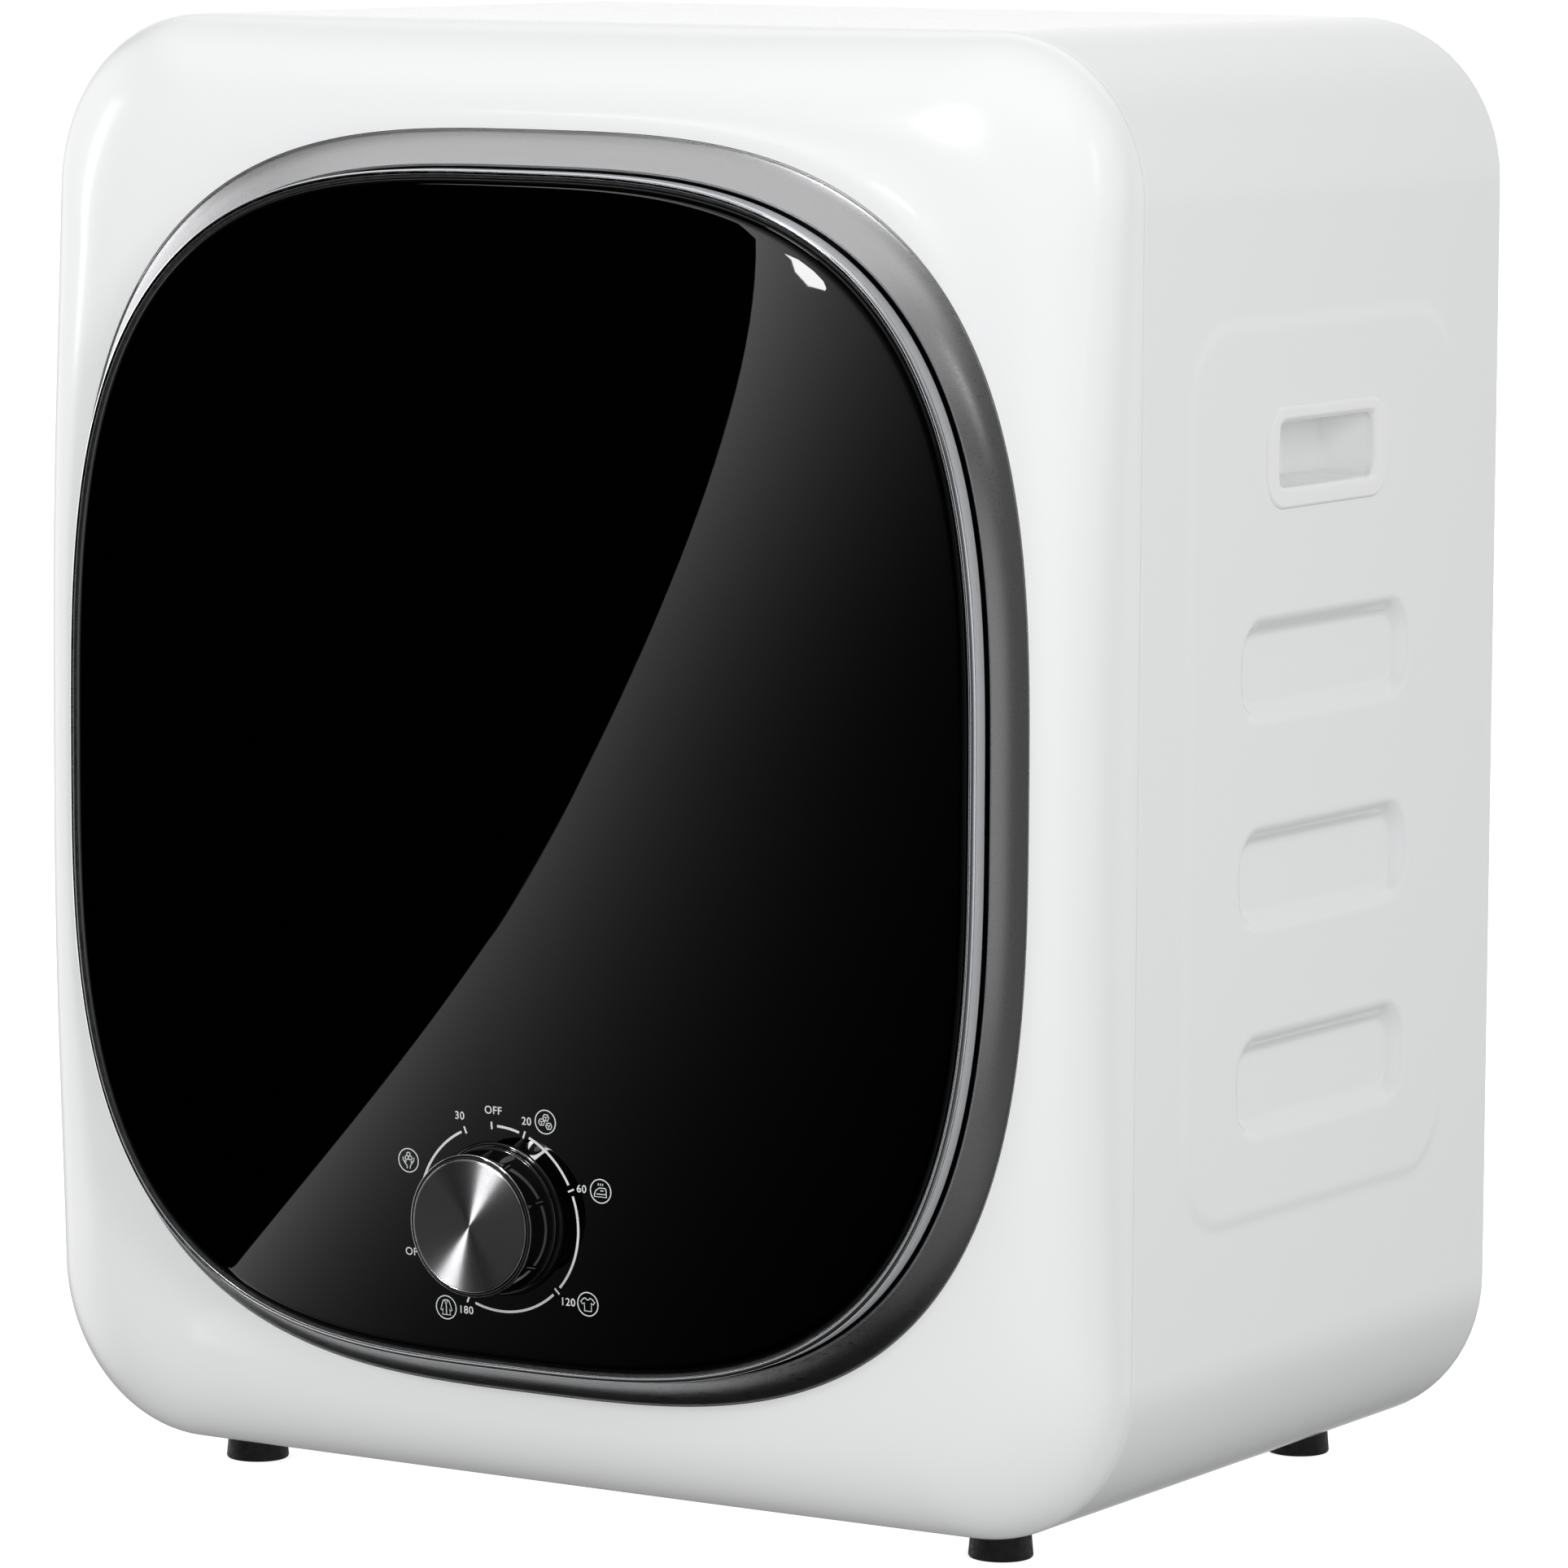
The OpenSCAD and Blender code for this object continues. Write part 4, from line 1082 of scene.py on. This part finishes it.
class RoomLight:
    """World shader: white to the camera, an even fill, and a shaped room in reflections."""

    def __init__(self):
        world = bpy.data.worlds.new("studio")
        bpy.context.scene.world = world
        world.use_nodes = True
        self.nodes, self.links = world.node_tree.nodes, world.node_tree.links
        self.nodes.clear()
        direction = self.nodes.new("ShaderNodeTexCoord").outputs["Generated"]
        split = self.nodes.new("ShaderNodeSeparateXYZ")
        self.links.new(direction, split.inputs["Vector"])
        self.across, self.back, self.up = (split.outputs[axis] for axis in "XYZ")
        near = self.nodes.new("ShaderNodeVectorMath")
        near.operation = "DOT_PRODUCT"
        self.links.new(direction, near.inputs[0])
        near.inputs[1].default_value = toward(-30, -6)
        self.before_door = near.outputs["Value"]

    def ramp(self, value, start, end, low, high):
        """Smooth step from low to high as value goes from start to end."""
        node = self.nodes.new("ShaderNodeMapRange")
        node.interpolation_type = "SMOOTHSTEP"
        for key, number in (("From Min", start), ("From Max", end), ("To Min", low), ("To Max", high)):
            node.inputs[key].default_value = number
        self.links.new(value, node.inputs["Value"])
        return node.outputs["Result"]

    def combine(self, operation, first, *others):
        """First with each of the others in turn, by a maths operation."""
        for other in others:
            node = self.nodes.new("ShaderNodeMath")
            node.operation = operation
            self.links.new(first, node.inputs[0])
            self.links.new(other, node.inputs[1])
            first = node.outputs["Value"]
        return first

    def background(self, strength):
        """White background of a strength."""
        node = self.nodes.new("ShaderNodeBackground")
        node.inputs["Color"].default_value = (1, 1, 1, 1)
        if isinstance(strength, float):
            node.inputs["Strength"].default_value = strength
        else:
            self.links.new(strength, node.inputs["Strength"])
        return node.outputs["Background"]

    def choose(self, switch, otherwise, when):
        """One shader while the switch is 0 and the other while it is 1."""
        node = self.nodes.new("ShaderNodeMixShader")
        self.links.new(switch, node.inputs["Fac"])
        self.links.new(otherwise, node.inputs[1])
        self.links.new(when, node.inputs[2])
        return node.outputs["Shader"]

    def build(self, below, above):
        """Even fill for diffuse light; soft patches of a room for reflections."""
        across, up = self.across, self.up
        fill = self.combine(
            "MULTIPLY", self.ramp(up, -0.6, 0.9, below, above), self.ramp(across, -0.9, -0.2, 0.84, 1.0)
        )
        overhead = self.combine(
            "MULTIPLY", self.ramp(up, 0.38, 0.72, 0.0, 0.70), self.ramp(across, 0.25, 0.55, 1.0, 0.4)
        )
        left = self.ramp(across, -0.96, -0.80, 1.3, 0.0)
        right = self.combine(
            "MULTIPLY", self.ramp(across, 0.88, 1.0, 0.09, 0.40), self.ramp(up, -0.75, -0.45, 0.1, 1.0)
        )
        low = self.combine(
            "MULTIPLY", self.ramp(up, -0.60, -0.30, 1.0, 0.0), self.ramp(across, 0.10, 0.60, 0.0, 0.10)
        )
        behind = self.combine(
            "MULTIPLY",
            self.ramp(self.back, 0.25, 0.75, 0.0, 0.8),
            self.ramp(up, -0.42, -0.12, 0.15, 1.0),
            self.ramp(up, -0.06, 0.04, 1.0, 1.2),
        )
        room = self.combine("ADD", overhead, left, right, low, behind)
        room = self.combine("MULTIPLY", room, self.ramp(self.before_door, 0.86, 0.93, 1.0, 0.0))
        path = self.nodes.new("ShaderNodeLightPath")
        hidden = self.choose(path.outputs["Is Glossy Ray"], self.background(fill), self.background(room))
        final = self.choose(path.outputs["Is Camera Ray"], hidden, self.background(1.0))
        out = self.nodes.new("ShaderNodeOutputWorld")
        self.links.new(final, out.inputs["Surface"])


def floor():
    """Plain pale floor that glows faintly, so that it stays white to the horizon."""
    rings, sides = [0.0, 0.25, 0.45, 0.7, 1.0, 1.5, 3.0, 60.0], 64
    points, faces, levels = [], [], []
    for r in rings:
        share = min(max((r - 0.3) / 0.9, 0), 1)
        for k in range(sides):
            t = 2 * math.pi * k / sides
            points.append((max(r, 0.001) * math.cos(t), max(r, 0.001) * math.sin(t), 0.0))
            levels.append(FLOOR_GLOW + (1.0 - FLOOR_GLOW) * share * share * (3 - 2 * share))
    for i in range(len(rings) - 1):
        for k in range(sides):
            m = (k + 1) % sides
            faces.append((i * sides + k, (i + 1) * sides + k, (i + 1) * sides + m, i * sides + m))
    faces.append(tuple(range(sides)))
    obj = level_object("studio_floor", points, faces, levels)
    pale = Finish("studio_floor", (0.90, 0.90, 0.90), 0.9, Specular_IOR_Level=0.0)
    pale.shader.inputs["Emission Color"].default_value = (1, 1, 1, 1)
    read_level(pale.material.node_tree, pale.shader.inputs["Emission Strength"])
    obj.data.materials.append(pale.material)
    obj.visible_glossy = False
    obj.visible_diffuse = False


FLOOR_GLOW = 0.72
FILL_BELOW, FILL_ABOVE = 0.62, 0.54
AIM = Vector((0, -0.1, 0.3))
LIGHTS = (
    # name, azimuth, height, distance, width, height, power, shape, seen
    ("key", -16, 27, 3.0, 0.66, 0.66, 31, "DISK", "fill"),
    ("key_shine", -14.5, 30, 3.0, 0.36, 0.60, 6, "ELLIPSE", "shine"),
    ("left_strip", -70, 13, 2.6, 0.30, 0.9, 1.8, "RECTANGLE", "both"),
    ("right_fill", 57, 20, 2.6, 0.22, 1.7, 20.5, "RECTANGLE", "fill"),
    ("right_shine", 54, 30, 2.6, 0.18, 0.7, 0.6, "RECTANGLE", "shine"),
)
DIAL_LIGHT = ("dial_box", -16, 27, 3.0, 0.95, 0.62, 230, "RECTANGLE", "shine")
DIAL_PIECES = ("knob_disc", "knob_body", "dial_seat_ring")
DIAL_PIECES += ("knob_ring_skirt", "knob_ring_front", "knob_ring_disc")


def studio():
    """Floor, room, soft boxes, one of them for the dial alone, and the card that the door mirrors."""
    floor()
    RoomLight().build(FILL_BELOW, FILL_ABOVE)
    for light in LIGHTS:
        area_light(*light)
    group = bpy.data.collections.new("dial_pieces")
    for name in DIAL_PIECES:
        group.objects.link(bpy.data.objects[name])
    area_light(*DIAL_LIGHT).light_linking.receiver_collection = group
    grey_card()


CAMERA_AZIMUTH, CAMERA_HEIGHT, CAMERA_ROLL = 31.61, 6.79, 0.34
CAMERA_DISTANCE, CAMERA_LENS = 3.32645, 186.61
CAMERA_TARGET = Vector((0.03149, -0.021, 0.29088))


def camera():
    """Camera at the angle, distance and lens solved for the picture of the object."""
    back = toward(CAMERA_AZIMUTH, CAMERA_HEIGHT)
    roll = math.radians(CAMERA_ROLL)
    data = bpy.data.cameras.new("camera")
    data.lens = CAMERA_LENS
    data.sensor_width = 36.0
    data.clip_start, data.clip_end = 0.1, 50.0
    obj = add_object("camera", data)
    right = (-back).cross(Vector((0, 0, 1))).normalized()
    up = right.cross(-back)
    turned_right = right * math.cos(roll) + up * math.sin(roll)
    turned_up = up * math.cos(roll) - right * math.sin(roll)
    turn = Matrix((turned_right, turned_up, back)).transposed()
    obj.matrix_world = Matrix.Translation(CAMERA_TARGET + back * CAMERA_DISTANCE) @ turn.to_4x4()
    bpy.context.scene.camera = obj


# ---- build -------------------------------------------------------------------
camera()
dress_cad_nodes()
cabinet_shell()
front_moulding()
surround_ring()
door_glass()
door_trim()
dial()
scale_marks()
icons()
dial_words()
handle_cup(1, "cup_right", "handle_cup_right")
handle_cup(-1, "cup_left", "handle_cup_left")
feet()
studio()
bpy.context.scene.view_settings.view_transform = "Standard"
bpy.context.scene.view_settings.look = "None"

bpy.context.view_layer.update()
